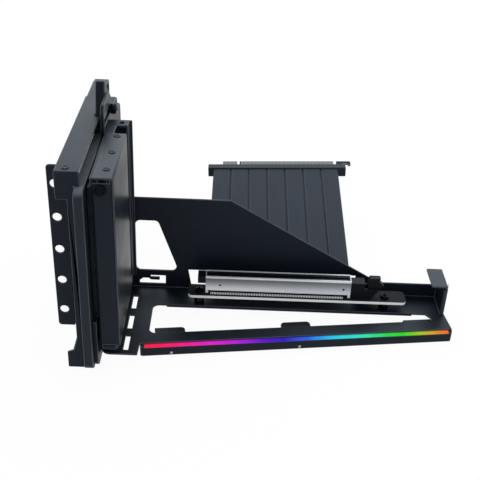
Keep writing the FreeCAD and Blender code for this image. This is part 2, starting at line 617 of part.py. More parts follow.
def slot_box():
    """The folded box that the card's bracket screws to, open to the left for the ports."""
    body = new_body("slot_box")
    inner = f"({WALL_R} - metal)"
    back = "tray_back"
    add(body, "YZ", inner, WALL_R, box("box_front", back, "box_low", "ledge_z"))
    add(body, "XY", "ledge_z - metal", "ledge_z", box(SLIDE_R, WALL_R, "box_front + ledge_in", back))
    rim = "(ledge_z - metal - box_seam)"
    add(body, "XZ", "box_front", "box_front + metal", box(FRONT_LEFT, WALL_R, "box_low", rim))
    add(body, "XZ", "tray_back - metal", back, box(SLIDE_R, f"{WALL_R} + box_lip", "box_low", "ledge_z"))
    add(body, "XY", "box_low", "box_low + metal",
        ((SLIDE_R, FLANGE_FRONT), (FRONT_LEFT, FLANGE_FRONT), (FRONT_LEFT, "box_front"),
         (WALL_R, "box_front"), (WALL_R, back), (SLIDE_R, back)))
    add(body, "YZ", FRONT_LEFT, f"{FRONT_LEFT} + metal",
        box("box_front", f"{FLANGE_FRONT} + metal", "box_low", rim))
    add(body, "XZ", FLANGE_FRONT, f"{FLANGE_FRONT} + metal",
        box(SLIDE_R, f"{FRONT_LEFT} + metal", "box_low", rim))
    add(body, "YZ", SLIDE_R, f"{SLIDE_R} + metal",
        box(FLANGE_FRONT, f"{FLANGE_FRONT} + metal + box_flange", "box_low", rim),
        box("slot_one + slot_open / 2", back, "box_low", rim))
    add(body, "XZ", "box_front - hem_out", "box_front",
        box(f"{FRONT_LEFT} + hem_in", f"{WALL_R} - hem_in", "box_low", "box_low + hem_high"))
    round_edges(body, "fold_round", "X", ("box_front - hem_out", "box_low + hem_high"))
    for k in SLOT_RANGE:
        middle = f"(slot_one - {k} * pitch)"
        side = (f"{middle} - slot_open / 2", f"{middle} + slot_open / 2")
        cut(body, "YZ", inner, WALL_R, box(*side, "slot_low", "ledge_z"))
        cut(body, "XY", "ledge_z - metal", "ledge_z", box(f"{WALL_R} - ledge_cut", inner, *side))
    cut(body, "XY", "ledge_z - metal", "ledge_z",
        circles=[(f"{WALL_R} - ledge_screw", f"slot_one + pitch / 2 - {k} * pitch", "card_screw + bore_play")
                 for k in range(len(SLOT_RANGE) + 1)])
    cut(body, "XZ", "box_front", "box_front + metal",
        circles=[("front_screw_x", "front_screw_z", "card_screw + bore_play")])
    cut(body, "YZ", SLIDE_R, f"{SLIDE_R} + metal",
        circles=[(y, z, "card_screw + bore_play") for y, z in PLATE_SCREWS[:4]])
    cut(body, "XZ", "tray_back - metal", back,
        circles=[(x, z, "card_screw + bore_play") for x, z in BACK_SCREWS])
    round_edges(body, "fold_round", "Z", (WALL_R, "box_front"), (FRONT_LEFT, "box_front"))


BACK_SCREWS = tuple((f"{SLIDE_R} + box_wide / 2", z) for z in ("-pitch", "-2 * pitch"))


def slot_cover():
    """The folded blank over the two outer card slots, with its tab on the ledge."""
    body = new_body("slot_cover")
    top = "(ledge_z + cover_t)"
    add(body, "YZ", WALL_R, COVER_R, box("box_front", "cover_back", "cover_low", top))
    add(body, "XY", "ledge_z", top, box(f"{SLIDE_R} + tab_in", COVER_R, "box_front", "cover_back"))
    cut(body, "XY", "ledge_z", top, circles=[(x, y, "card_screw + bore_play") for x, y in COVER_SCREWS])
    round_edges(body, "fold_round", "Y", (COVER_R, top))


COVER_SCREWS = tuple((f"{WALL_R} - ledge_screw", f"slot_one - pitch / 2 - {k} * pitch") for k in SLOT_RANGE)


def bar_line(x, depth):
    """The place on Y of a line along the light bar, a depth in front of its back edge."""
    return f"(bar_y + ({x}) * tan(bar_turn) - ({depth}) / cos(bar_turn))"


def bar_place(along, back):
    """The place on X and Y of a point in the light bar's turned frame."""
    return (f"({along}) * cos(bar_turn) - ({back}) * sin(bar_turn)",
            f"bar_y + ({along}) * sin(bar_turn) + ({back}) * cos(bar_turn)")


def tray():
    """The folded tray: floor with its long opening, back plate with its window, lip and tabs."""
    body = new_body("tray")
    left = SLIDE_R
    add(body, "XY", FLOOR_LOW, "floor_z",
        ((left, "tray_front"), ("strip_end", "tray_front"), bar_place("bar_start", "-bar_sheet"),
         bar_place(BAR_STOP, "-bar_sheet"), bar_place(BAR_STOP, "0"), ("tray_end", "end_tab_front"),
         ("tray_end", PLATE_R), (left, PLATE_R)))
    foot = "(slope_start + (plate_top - wall_top) / tan(slope_turn))"
    add(body, "XZ", "tray_back", PLATE_R,
        ((left, FLOOR_LOW), ("tray_end", FLOOR_LOW), ("tray_end", "wall_top"), (foot, "wall_top"),
         ("slope_start", "plate_top"), (left, "plate_top")))
    cut(body, "XY", FLOOR_LOW, "floor_z",
        (("bay_left", bar_line("bay_left", "0")), (BAY_RIGHT, bar_line(BAY_RIGHT, "0")),
         (BAY_RIGHT, f"{bar_line(BAY_RIGHT, '0')} + bay_tip"), (f"{BAY_RIGHT} - bay_tip", "bay_back_right"),
         ("bay_left", "bay_back_left")))
    fall = f"((bay_back_right - bay_back_left) / ({BAY_RIGHT} - bay_tip - bay_left))"
    lip_left = "(bay_left + lip_inset)"
    lip_right = f"({BAY_RIGHT} - bay_tip - lip_inset)"
    start = f"(bay_back_left + lip_inset * {fall})"
    stop = f"(bay_back_right - lip_inset * {fall})"
    add(body, "XY", "floor_z - lip_drop", FLOOR_LOW,
        ((lip_left, start), (lip_right, stop), (lip_right, f"{stop} + metal"),
         (lip_left, f"{start} + metal")))
    slit = f"({WALL_R} + slit_in)"
    slits = []
    for k in SLOT_RANGE:
        middle = f"(slot_one - slit_shift - {k} * pitch)"
        slits.append(box(f"{slit} - slit_wide / 2", f"{slit} + slit_wide / 2",
                         f"{middle} - slit_long / 2", f"{middle} + slit_long / 2"))
    cut(body, "XY", FLOOR_LOW, "floor_z", *slits)
    cut(body, "XZ", "tray_back", PLATE_R,
        (("window_left", "window_low"), ("window_left + window_base", "window_low"),
         ("window_left + window_wide", "window_top"), ("window_left", "window_top")))
    hole_right = "hook_hole_left + hook_hole_wide"
    root = "(hook_hole_left + tie_root)"
    tip = "(hook_hole_left + tie_long)"
    tie_top = "(hook_hole_top - tie_drop)"
    tie_low = f"({tie_top} - tie_wide)"
    cut(body, "XZ", "tray_back", PLATE_R,
        (("hook_hole_left", "hook_hole_low"), (hole_right, "hook_hole_low"), (hole_right, "hook_hole_top"),
         (root, "hook_hole_top"), (root, tie_top), (tip, tie_top), (tip, tie_low), (root, tie_low),
         (f"{root} - tie_drop", f"{tie_low} + tie_drop"),
         ("hook_hole_left + tie_wide", f"{tie_low} + tie_drop"),
         ("hook_hole_left", f"{tie_low} - tie_drop / 2")))
    cut(body, "XZ", "tray_back", PLATE_R,
        (("cable_left + cable_slant", "floor_z"), ("cable_right", "floor_z"), ("cable_right", "cable_top"),
         ("cable_left", "cable_top")))
    end_tab = ("tray_end - 2 * metal", "tray_end - metal")
    add(body, "YZ", *end_tab, box("end_tab_front", "tray_back", "floor_z", "end_tab_top"))
    cut(body, "YZ", *end_tab, circles=[("hook_screw_y", "hook_screw_z", "hook_screw_d + bore_play")])
    tabs = [box(front, f"{front} + foot_tab_wide", "floor_z", "floor_z + foot_tab_rise")
            for front in ("foot_tab_front", BACK_TAB_FRONT)]
    add(body, "YZ", left, f"{left} + metal", *tabs)
    cut(body, "YZ", left, f"{left} + metal",
        circles=[(y, z, "card_screw + bore_play") for y, z in PLATE_SCREWS[4:]])
    cut(body, "XZ", "tray_back", PLATE_R, circles=[(x, z, "card_screw + bore_play") for x, z in BACK_SCREWS])
    cut(body, "XY", FLOOR_LOW, "floor_z",
        circles=[(x, "post_y", "board_screw + bore_play") for x in POSTS])
    round_edges(body, "bay_round", "Z", ("bay_left", "bay_back_left"),
                ("bay_left", bar_line("bay_left", "0")))
    round_edges(body, "window_round", "Y", ("window_left", "window_low"),
                ("window_left + window_base", "window_low"), ("window_left", "window_top"),
                ("window_left + window_wide", "window_top"))
    round_edges(body, "slide_round", "Z", (left, "tray_front"))
    round_edges(body, "fold_round", "X", (PLATE_R, FLOOR_LOW))


def turn_to_bar(body):
    """Sets the body along the light bar: its X along the bar, its Y back, its Z from the floor's top."""
    body.Placement = FreeCAD.Placement(FreeCAD.Vector(0, 0, 0), FreeCAD.Rotation(FreeCAD.Vector(0, 0, 1), 1))
    body.setExpression("Placement.Base.y", bound("bar_y"))
    body.setExpression("Placement.Base.z", bound("floor_z"))
    body.setExpression("Placement.Rotation.Angle", bound("bar_turn"))
    doc.recompute()


def light_channel():
    """The light bar's channel under the tray's front strip, with end caps and three mounting pads."""
    body = new_body("light_channel")
    turn_to_bar(body)
    back = "-bar_inset"
    add(body, "YZ", "bar_start", BAR_STOP,
        ((back, "-metal"), (back, "-bar_deep"), ("-bar_face", "-bar_deep"), ("-bar_face", "-glow_seat"),
         ("bar_wall - bar_face", "-glow_seat"), ("bar_wall - bar_face", "bar_wall - bar_deep"),
         (f"{back} - bar_wall", "bar_wall - bar_deep"), (f"{back} - bar_wall", "-metal")))
    for end in (("bar_start", "bar_start + glow_inset"), (f"{BAR_STOP} - glow_inset", BAR_STOP)):
        add(body, "YZ", *end,
            ((back, "-metal"), (back, "-bar_deep"), ("-bar_face", "-bar_deep"), ("-bar_face", "-glow_drop"),
             ("-bar_sheet", "-glow_top"), ("-bar_sheet", "-metal")))
    round_edges(body, "bar_round", "Z", ("bar_start", "-bar_face"), (BAR_STOP, "-bar_face"))
    reaches = ("pad_reach", "pad_reach", "pad_reach / 2")
    add(body, "XY", "-metal - pad_t", "-metal",
        *[box(f"{middle} - pad_wide / 2", f"{middle} + pad_wide / 2", back, reach)
          for middle, reach in zip(PADS, reaches)])
    cut(body, "XZ", "-bar_face", "bar_wall - bar_face",
        circles=[(middle, LIGHT_SCREW_Z, "light_screw_d + bore_play") for middle in PADS[:2]])
    round_edges(body, "pad_round", "Z", (f"{PADS[0]} + pad_wide / 2", "pad_reach"),
                (f"{PADS[1]} - pad_wide / 2", "pad_reach"), (f"{PADS[1]} + pad_wide / 2", "pad_reach"))


LIGHT_SCREW_Z = "(light_screw_up - bar_deep)"


def light_screws():
    """The two small screws in the bar's front face."""
    body = new_body("light_screws")
    turn_to_bar(body)
    add(body, "XZ", "-bar_face - light_head_t", "-bar_face",
        circles=[(middle, LIGHT_SCREW_Z, "light_head_d") for middle in PADS[:2]])
    add(body, "XZ", "-bar_face", "bar_wall - bar_face",
        circles=[(middle, LIGHT_SCREW_Z, "light_screw_d") for middle in PADS[:2]])


def light_diffuser():
    """The clear strip along the front of the bar, with a sloped lit face."""
    body = new_body("light_diffuser")
    turn_to_bar(body)
    add(body, "YZ", "bar_start + glow_inset", f"{BAR_STOP} - glow_inset",
        (("-bar_sheet", "-glow_top"), ("-bar_face", "-glow_drop"), ("-bar_face", "-glow_seat"),
         ("bar_wall - bar_face", "-glow_seat"), ("bar_wall - bar_face", "-glow_seat - glow_stem"),
         ("-bar_sheet", "-glow_seat - glow_stem")))


def led_strip():
    """The light strip in the channel: a thin board with a row of lights."""
    body = new_body("led_strip")
    turn_to_bar(body)
    floor = "(bar_wall - bar_deep)"
    back = "(-bar_inset - bar_wall - seat_gap)"
    add(body, "XY", floor, f"{floor} + led_board_t",
        box("bar_start + led_margin", f"{BAR_STOP} - led_margin", f"{back} - led_board_wide", back))
    middle = f"({back} - led_board_wide / 2)"
    spacing = f"(({BAR_STOP} - bar_start - 2 * led_margin) / led_count)"
    first = f"(bar_start + led_margin + {spacing} / 2)"
    light = add(body, "XY", f"{floor} + led_board_t", f"{floor} + led_board_t + led_high",
                box(f"{first} - led_size / 2", f"{first} + led_size / 2",
                    f"{middle} - led_size / 2", f"{middle} + led_size / 2"))
    repeat(body, [light], "X", spacing, "led_count")


def riser_board():
    """The riser board, with its two screw holes."""
    body = new_body("riser_board")
    low = "board_z - board_t"
    right = BOARD_RIGHT
    back = "(board_front + board_deep)"
    add(body, "XY", low, "board_z", box("board_left", right, "board_front", back))
    cut(body, "XY", low, "board_z",
        circles=[(x, "post_y", "board_screw + bore_play") for x in POSTS])
    round_edges(body, "board_round", "Z", (right, "board_front"), (right, back),
                ("board_left", "board_front"))


def board_posts():
    """The two bored six-sided standoffs under the riser board."""
    posts = []
    for i, x in enumerate(POSTS):
        outer = rod_along(f"board_post_{i}", "Z", (x, "post_y"), "floor_z", "board_z - board_t", "post_d",
                          "post_sides")
        bore = rod_along(f"board_bore_{i}", "Z", (x, "post_y"), "floor_z", "board_z - board_t",
                         "board_screw + bore_play")
        post = doc.addObject("Part::Cut", f"board_sleeve_{i}")
        post.Base = outer
        post.Tool = bore
        posts.append(post)
    group = doc.addObject("Part::Compound", "board_posts")
    group.Links = posts
    group.Label = "board_posts"
    NODES.append(group)


def slot_body():
    """The slot's moulding: the mouth with its key rib, a nose, a tail and the latch's two cheeks."""
    body = new_body("slot_body")
    top = "(board_z + slot_high)"
    left = "(slot_left - slot_nose)"
    add(body, "XY", "board_z", top, box("slot_left", SLOT_RIGHT, SLOT_FRONT, SLOT_BACK))
    add(body, "XY", "board_z + nose_rise", top, box(left, "slot_left", SLOT_FRONT, SLOT_BACK))
    add(body, "XY", "board_z", "board_z + tail_high", box(SLOT_RIGHT, TAIL_RIGHT, SLOT_FRONT, SLOT_BACK))
    cheek = ((TAIL_RIGHT, "board_z"), (LATCH_X, "board_z"),
             (f"{LATCH_X} + cheek_reach", "board_z + cheek_high"), (TAIL_RIGHT, "board_z + cheek_high"))
    add(body, "XZ", SLOT_FRONT, f"{SLOT_FRONT} + cheek_t", cheek)
    add(body, "XZ", f"{SLOT_BACK} - cheek_t", SLOT_BACK, cheek)
    mouth = ("slot_y - mouth_wide / 2", "slot_y + mouth_wide / 2")
    key = "(slot_left + mouth_end + key_at)"
    cut(body, "XY", f"{top} - mouth_deep", top,
        box("slot_left + mouth_end", key, *mouth),
        box(f"{key} + key_wide", f"{SLOT_RIGHT} - mouth_end", *mouth))
    cut(body, "XZ", SLOT_FRONT, SLOT_BACK,
        circles=[(LATCH_X, "board_z + latch_rise", "latch_pin + bore_play")])


def slot_shield():
    """The thin steel shield over the slot, with soldered legs and a locating hole."""
    body = new_body("slot_shield")
    low = "(board_z + shield_rise)"
    top = "(board_z + slot_high + shield_t)"
    front = f"({SLOT_FRONT} - shield_t)"
    back = f"({SLOT_BACK} + shield_t)"
    add(body, "XY", low, top, box("slot_left", SLOT_RIGHT, front, back))
    cut(body, "XY", low, "board_z + slot_high", box("slot_left", SLOT_RIGHT, SLOT_FRONT, SLOT_BACK))
    cut(body, "XY", "board_z + slot_high", top,
        box("slot_left + mouth_end / 2", f"{SLOT_RIGHT} - mouth_end / 2",
            f"{SLOT_FRONT} + lip_wide", f"{SLOT_BACK} - lip_wide"))
    leg = add(body, "XY", "board_z", low,
              box("slot_left", "slot_left + leg_wide", front, SLOT_FRONT),
              box("slot_left", "slot_left + leg_wide", SLOT_BACK, back))
    repeat(body, [leg], "X", "(slot_long - leg_wide) / (shield_legs - 1)", "shield_legs")
    cut(body, "XZ", front, SLOT_FRONT,
        circles=[("slot_left + shield_hole_in", "board_z + slot_high / 2", "shield_hole"),
                 (f"{SLOT_RIGHT} - shield_hole_in / 2", "board_z + slot_high / 2", "shield_hole")])


def slot_contacts():
    """The row of soldered contact tails in front of the slot."""
    body = new_body("slot_contacts")
    first = "(slot_left + pin_in)"
    tail = add(body, "XY", "board_z", "board_z + pin_t",
               box(f"{first} - pin_wide / 2", f"{first} + pin_wide / 2",
                   f"{SLOT_FRONT} - pin_long", SLOT_FRONT))
    repeat(body, [tail], "X", "pin_pitch", "pin_count")


def slot_latch():
    """The card latch: a hooked lever with a finger pad, turning on moulded trunnions."""
    body = new_body("slot_latch")
    inside = (f"{SLOT_FRONT} + cheek_t + seat_gap", f"{SLOT_BACK} - cheek_t - seat_gap")
    pivot = "(board_z + latch_rise)"
    top = f"({pivot} + latch_high)"
    heel = f"({LATCH_X} - latch_heel)"
    tip = f"({LATCH_X} + latch_long)"
    add(body, "XZ", *inside,
        ((heel, f"{pivot} - latch_sole"), (LATCH_X, f"{pivot} - latch_sole"),
         (tip, f"{pivot} + latch_nose_up / 2"), (f"{LATCH_X} + latch_nose", f"{pivot} + latch_nose_up"),
         (f"{tip} - latch_sole / 4", f"{top} - latch_pad"), (tip, top), (f"{heel} + latch_sole / 4", top),
         (heel, f"{top} - latch_pad")))
    add(body, "XZ", SLOT_FRONT, SLOT_BACK, circles=[(LATCH_X, pivot, "latch_pin")])


def riser_ribbon():
    """The flat ribbon: seven lanes side by side on a thinner web, rising to the tilted plug."""
    body = new_body("riser_ribbon")
    lane = "((ribbon_wide - (ribbon_lanes - 1) * ribbon_groove) / ribbon_lanes)"
    steps = []
    for k in range(int(number("ribbon_lanes"))):
        start = f"ribbon_left + {k} * ({lane} + ribbon_groove)"
        web = (f"{start} - ribbon_groove", f"{start}") if k else ()
        steps += [(x, "groove_deep") for x in web] + [(start, "0"), (f"{start} + {lane}", "0")]

    def section(low):
        """The lanes' outline, with the place of its lower face on Z as a function of X."""
        under = [(x, f"{low(x)} + {inset}") for x, inset in steps]
        over = [(x, f"{low(x)} + ribbon_t - {inset}") for x, inset in reversed(steps)]
        return under + over

    def level(x):
        return "board_z"

    def tilted(x):
        return f"(plug_z - ribbon_t + ({x} - plug_left) * tan(plug_tilt))"

    add(body, "XZ", "ribbon_start", "ribbon_flat", section(level))
    loft(body, ("ribbon_flat", section(level)), ("plug_y", section(tilted)))


def turn_to_plug(body):
    """Sets the body on the plug: its X along it, its Y to the fingers, its Z from the ribbon's top."""
    body.Placement = FreeCAD.Placement(FreeCAD.Vector(0, 0, 0), FreeCAD.Rotation(FreeCAD.Vector(0, -1, 0), 1))
    for letter, place in (("x", "plug_left"), ("y", "plug_y"), ("z", "plug_z")):
        body.setExpression(f"Placement.Base.{letter}", bound(place))
    body.setExpression("Placement.Rotation.Angle", bound("plug_tilt"))
    doc.recompute()


def plug_housing():
    """The plug's housing at the ribbon's end, with a seat for the edge board."""
    body = new_body("plug_housing")
    turn_to_plug(body)
    add(body, "XY", "plug_over - plug_high", "plug_over", box("0", "plug_long", "0", "plug_deep"))
    card_top = "(plug_over - card_drop)"
    cut(body, "XY", f"{card_top} - card_t", card_top,
        box(CARD_LEFT, CARD_RIGHT, "plug_deep - card_seat", "plug_deep"))
    round_edges(body, "plug_round", "X", ("0", "plug_over"), ("plug_deep", "plug_over"))


CARD_LEFT = "(card_in - card_gap)"
CARD_RIGHT = "(card_in + card_long + card_gap + card_hook_wide)"


def plug_card():
    """The edge board: finger edge with its key notch, and the retaining hook at its right."""
    body = new_body("plug_card")
    turn_to_plug(body)
    top = "(plug_over - card_drop)"
    seat = "(plug_deep - card_seat)"
    edge = "(plug_deep + card_out)"
    finger_right = "(card_in + card_long)"
    key = "(card_in + card_key_at)"
    hook_left = f"({finger_right} + card_gap)"
    hook_right = f"({hook_left} + card_hook)"
    notch = f"({edge} - card_key_deep)"
    hook_front = f"({edge} - card_hook_wide)"
    add(body, "XY", f"{top} - card_t", top,
        ((CARD_LEFT, seat), (CARD_RIGHT, seat), (CARD_RIGHT, hook_front),
         (f"{hook_right} - card_hook_tip", hook_front),
         (f"{hook_right} - card_hook_tip", f"{hook_front} - card_hook_tip"),
         (hook_right, f"{hook_front} - card_hook_tip"), (hook_right, edge), (hook_left, edge),
         (hook_left, notch), (finger_right, notch), (finger_right, edge), (f"{key} + card_key", edge),
         (f"{key} + card_key", notch), (key, notch), (key, edge), ("card_in", edge), ("card_in", "plug_deep"),
         (CARD_LEFT, "plug_deep")))


def end_hook():
    """The folded support at the tray's right end."""
    body = new_body("end_hook")
    add(body, "YZ", "tray_end - metal", "tray_end",
        box("end_tab_front", "tray_back", "floor_z", "hook_z - hook_t"))
    left = "(tray_end - hook_wide)"
    back = "(hook_front + hook_long)"
    add(body, "XY", "hook_z - hook_t", "hook_z", box(left, "tray_end", "hook_front", back))
    cut(body, "YZ", "tray_end - metal", "tray_end",
        circles=[("hook_screw_y", "hook_screw_z", "hook_screw_d + bore_play")])
    round_edges(body, "hook_round", "Z", (left, "hook_front"), (left, back))


def adjust_knob():
    """The fluted knob whose screw clamps the slide plate to the frame's fin."""
    body = new_body("adjust_knob")
    left = f"({SLIDE_R} + seat_gap)"
    add(body, "YZ", left, f"{left} + knob_t", circles=[("knob_y", "knob_z", "knob_d")])
    add(body, "YZ", "frame_x", left, circles=[("knob_y", "knob_z", "knob_shank")])
    flutes = int(number("knob_flutes"))
    places = []
    for k in range(flutes):
        turn = 360.0 / flutes * k
        places.append((f"knob_y + knob_d / 2 * cos({turn})", f"knob_z + knob_d / 2 * sin({turn})", "flute_d"))
    cut(body, "YZ", left, f"{left} + knob_t", circles=places)


def fasteners():
    """The screws, in groups of like ones."""
    head_x = f"({SLIDE_R} + seat_gap)"
    screws("guide_screws", "X",
           [((y, "guide_z"), (head_x, f"{head_x} + guide_head_t"), "guide_head_d",
             ("frame_x", head_x), "guide_d") for y in ("guide_one", "guide_two")])
    screws("hood_screw", "Z",
           [(("hood_screw_x", "hood_screw_y"), ("hood_top", "hood_top + flat_head_t"), "flat_head_d",
             ("hood_top - screw_long", "hood_top"), "card_screw")])
    tab_top = "(ledge_z + cover_t)"
    screws("cover_screws", "Z",
           [((x, y), (tab_top, f"{tab_top} + flat_head_t"), "flat_head_d",
             (f"{tab_top} - screw_long", tab_top), "card_screw") for x, y in COVER_SCREWS])
    screws("box_front_screw", "Y",
           [(("front_screw_x", "front_screw_z"), ("box_front - pan_head_t", "box_front"), "pan_head_d",
             ("box_front", "box_front + screw_long"), "card_screw")])
    flange = f"({SLIDE_R} + metal)"
    screws("plate_screws", "X",
           [((y, z), (flange, f"{flange} + flat_head_t"), "flat_head_d", (SLIDE_L, flange), "card_screw")
            for y, z in PLATE_SCREWS])
    screws("back_screws", "Y",
           [((x, z), (PLATE_R, f"{PLATE_R} + pan_head_t"), "pan_head_d", (f"{PLATE_R} - screw_long", PLATE_R),
             "card_screw") for x, z in BACK_SCREWS])
    screws("board_screws", "Z",
           [((x, "post_y"), ("board_z", "board_z + board_head_t"), "board_head_d", (FLOOR_LOW, "board_z"),
             "board_screw") for x in POSTS])
    screws("end_hook_screw", "X",
           [(("hook_screw_y", "hook_screw_z"), ("tray_end", "tray_end + hook_head_t"), "hook_head_d",
             ("tray_end - screw_long", "tray_end"), "hook_screw_d")])


slot_panel()
rear_hood()
rear_frame()
adjust_knob()
slide_plate()
slot_box()
slot_cover()
tray()
light_channel()
light_screws()
light_diffuser()
led_strip()
riser_board()
board_posts()
slot_body()
slot_shield()
slot_contacts()
slot_latch()
riser_ribbon()
plug_housing()
plug_card()
end_hook()
fasteners()
doc.recompute()

for item in doc.Objects:
    if "Invalid" in item.State or "Error" in item.State:
        raise RuntimeError(f"{item.Label} failed: {item.State}")
for node in NODES:
    if node.Shape.isNull() or not node.Shape.isValid() or not node.Shape.Solids:
        raise RuntimeError(f"{node.Label} has no valid solid")

os.makedirs("parts", exist_ok=True)
for node in NODES:
    node.Shape.exportStep(f"parts/{node.Label}.step")
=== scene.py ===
"""Dresses the upright graphics-card bracket: coats, steel, ribbon, light bar, screws and stage."""
import json
import math

import bmesh
import bpy
import numpy as np
from mathutils import Matrix, Vector


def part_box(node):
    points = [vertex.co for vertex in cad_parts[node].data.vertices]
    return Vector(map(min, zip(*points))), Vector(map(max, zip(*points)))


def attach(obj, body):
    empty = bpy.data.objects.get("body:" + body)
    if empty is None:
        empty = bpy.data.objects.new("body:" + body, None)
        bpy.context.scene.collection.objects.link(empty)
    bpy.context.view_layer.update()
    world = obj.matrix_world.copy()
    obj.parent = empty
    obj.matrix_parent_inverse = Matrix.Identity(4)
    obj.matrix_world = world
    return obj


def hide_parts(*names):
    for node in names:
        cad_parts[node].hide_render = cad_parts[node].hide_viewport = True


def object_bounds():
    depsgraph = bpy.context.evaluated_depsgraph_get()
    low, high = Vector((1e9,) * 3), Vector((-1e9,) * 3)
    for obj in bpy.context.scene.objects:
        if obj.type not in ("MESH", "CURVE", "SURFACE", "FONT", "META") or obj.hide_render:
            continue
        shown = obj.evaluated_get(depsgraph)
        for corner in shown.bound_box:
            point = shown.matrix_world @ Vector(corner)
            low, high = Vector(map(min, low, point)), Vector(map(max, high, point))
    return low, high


bl_info = {
    "name": "Upright card bracket",
    "version": (1, 0, 0),
    "blender": (4, 5, 0),
    "location": "View3D > Sidebar > Bracket",
    "description": "Finishes and small parts of an upright graphics-card bracket",
    "category": "Object",
}

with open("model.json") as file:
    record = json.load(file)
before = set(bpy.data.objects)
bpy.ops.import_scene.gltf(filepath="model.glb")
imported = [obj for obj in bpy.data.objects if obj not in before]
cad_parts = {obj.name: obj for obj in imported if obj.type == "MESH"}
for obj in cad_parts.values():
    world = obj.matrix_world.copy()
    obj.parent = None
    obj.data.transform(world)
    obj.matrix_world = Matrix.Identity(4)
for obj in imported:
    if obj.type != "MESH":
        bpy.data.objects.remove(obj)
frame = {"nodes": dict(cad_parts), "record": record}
CAD_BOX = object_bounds()
NODES = frame["nodes"]

# places nearer than this are one place
NEAR = 1e-6
# in a new piece, points nearer than the first are joined and edges shorter than the second are dropped
JOIN, SLIVER = 2e-7, 1e-8
# a new piece keeps its sharp look at this turn and more, a CAD node is flat below the next one, and its
# edges are rounded above the last
SHARP_TURN, FLAT_TURN, ROUND_TURN = math.radians(38), math.radians(0.5), math.radians(40)
# nodes that are folded from sheet and powder-coated
SHEETS = ("slot_panel", "rear_hood", "slide_plate", "slot_box", "tray", "light_channel")
# node: axis of its screws, side of the head on that axis, metal, driver recess
SCREWS = {
    "hood_screw": (2, 1, "black", "round"),
    "cover_screws": (2, 1, "black", "cross"),
    "box_front_screw": (1, -1, "dull", "round"),
    "back_screws": (1, 1, "black", "cross"),
    "plate_screws": (0, 1, "black", "cross"),
    "guide_screws": (0, 1, "black", "cross"),
    "board_screws": (2, 1, "dull", "cross"),
    "end_hook_screw": (0, 1, "bright", "round"),
}
# shares of a screw: fall of the head's dome, half width of a cross's bar, blur of a bar's and of a
# socket's edge, and taper of the point
DOME, BAR_HALF, BAR_BLUR, SOCKET_BLUR, TAPER = 0.3, 0.24, 0.10, 0.06, 0.3
# depth of the knob's flutes as a share of its radius
FLUTE_DEEP = 0.07
# tint of the coats' sheen and of the lamps
COOL = (0.78, 0.90, 1.0, 1.0)
# along Y the frame's rails end at the first place, and its fin begins at the second
RAILS_END, FIN_START = 0.036, 0.046
# brightness of the shield from its foot to its top: a painted reflection, bright at the foot and on the top
# bend and dark between
SHIELD_PAINTED_SHEEN = ((0.0, 1.6), (0.30, 1.35), (0.62, 0.55), (0.82, 0.26), (0.88, 0.30), (0.93, 1.5), (1.0, 0.8))
# colour of the light along the bar, as a share of its length
GLOW = (
    (0.00, (1.00, 0.010, 0.040)),
    (0.10, (0.95, 0.010, 0.170)),
    (0.22, (0.78, 0.010, 0.640)),
    (0.31, (0.42, 0.005, 0.760)),
    (0.38, (0.09, 0.003, 0.620)),
    (0.45, (0.015, 0.004, 0.560)),
    (0.53, (0.008, 0.130, 0.850)),
    (0.62, (0.005, 0.640, 0.820)),
    (0.71, (0.020, 0.780, 0.460)),
    (0.79, (0.010, 0.700, 0.050)),
    (0.85, (0.020, 0.680, 0.015)),
    (0.90, (0.36, 0.560, 0.010)),
    (0.94, (0.66, 0.360, 0.015)),
    (1.00, (0.88, 0.110, 0.030)),
)
# colour of the bar's strip itself, at its red end and at its other end
STRIP = ((0.030, 0.006, 0.012), (0.012, 0.014, 0.010))
# depth of the bar's strip from front to back, and distance between the lights behind it
STRIP_DEEP, LIGHT_PITCH = 0.002, 0.008
# lamp: place, point it faces, width and height, share of the key's power
LAMPS = {
    "key": ((0.30, 1.00, 0.66), (0.10, 0.05, 0.0), (1.8, 1.0), 1.0),
    "fill": ((-0.45, -0.75, 0.45), (0.05, 0.0, 0.0), (0.6, 0.6), 0.18),
}
# half the floor's width, its lines each way, and how far it lies below the object
FLOOR_HALF, FLOOR_LINES, FLOOR_DROP = 4.0, 9, 0.0004
# the camera's right and its line of sight
CAMERA_RIGHT = (0.99922, 0.00840, 0.03856)
CAMERA_AHEAD = (0.01271, 0.85663, -0.51579)
# the Mix node's sockets for colours, which share their names with its other sockets
MIX_FACTOR, MIX_FIRST, MIX_SECOND, MIX_RESULT = 0, 6, 7, 2


def colour(name, words, default):
    """A colour that the user can change."""
    return bpy.props.FloatVectorProperty(
        name=name, description=words, subtype="COLOR", size=3, min=0.0, max=1.0, default=default)


def length(name, words, default):
    """A length that the user can change."""
    return bpy.props.FloatProperty(name=name, description=words, unit="LENGTH", min=0.0, default=default)


def share(name, words, default, high=1.0):
    """A share or strength that the user can change."""
    return bpy.props.FloatProperty(
        name=name, description=words, subtype="FACTOR", min=0.0, max=high, default=default)


def number(name, words, default, low):
    """A count that the user can change."""
    return bpy.props.IntProperty(name=name, description=words, min=low, default=default)


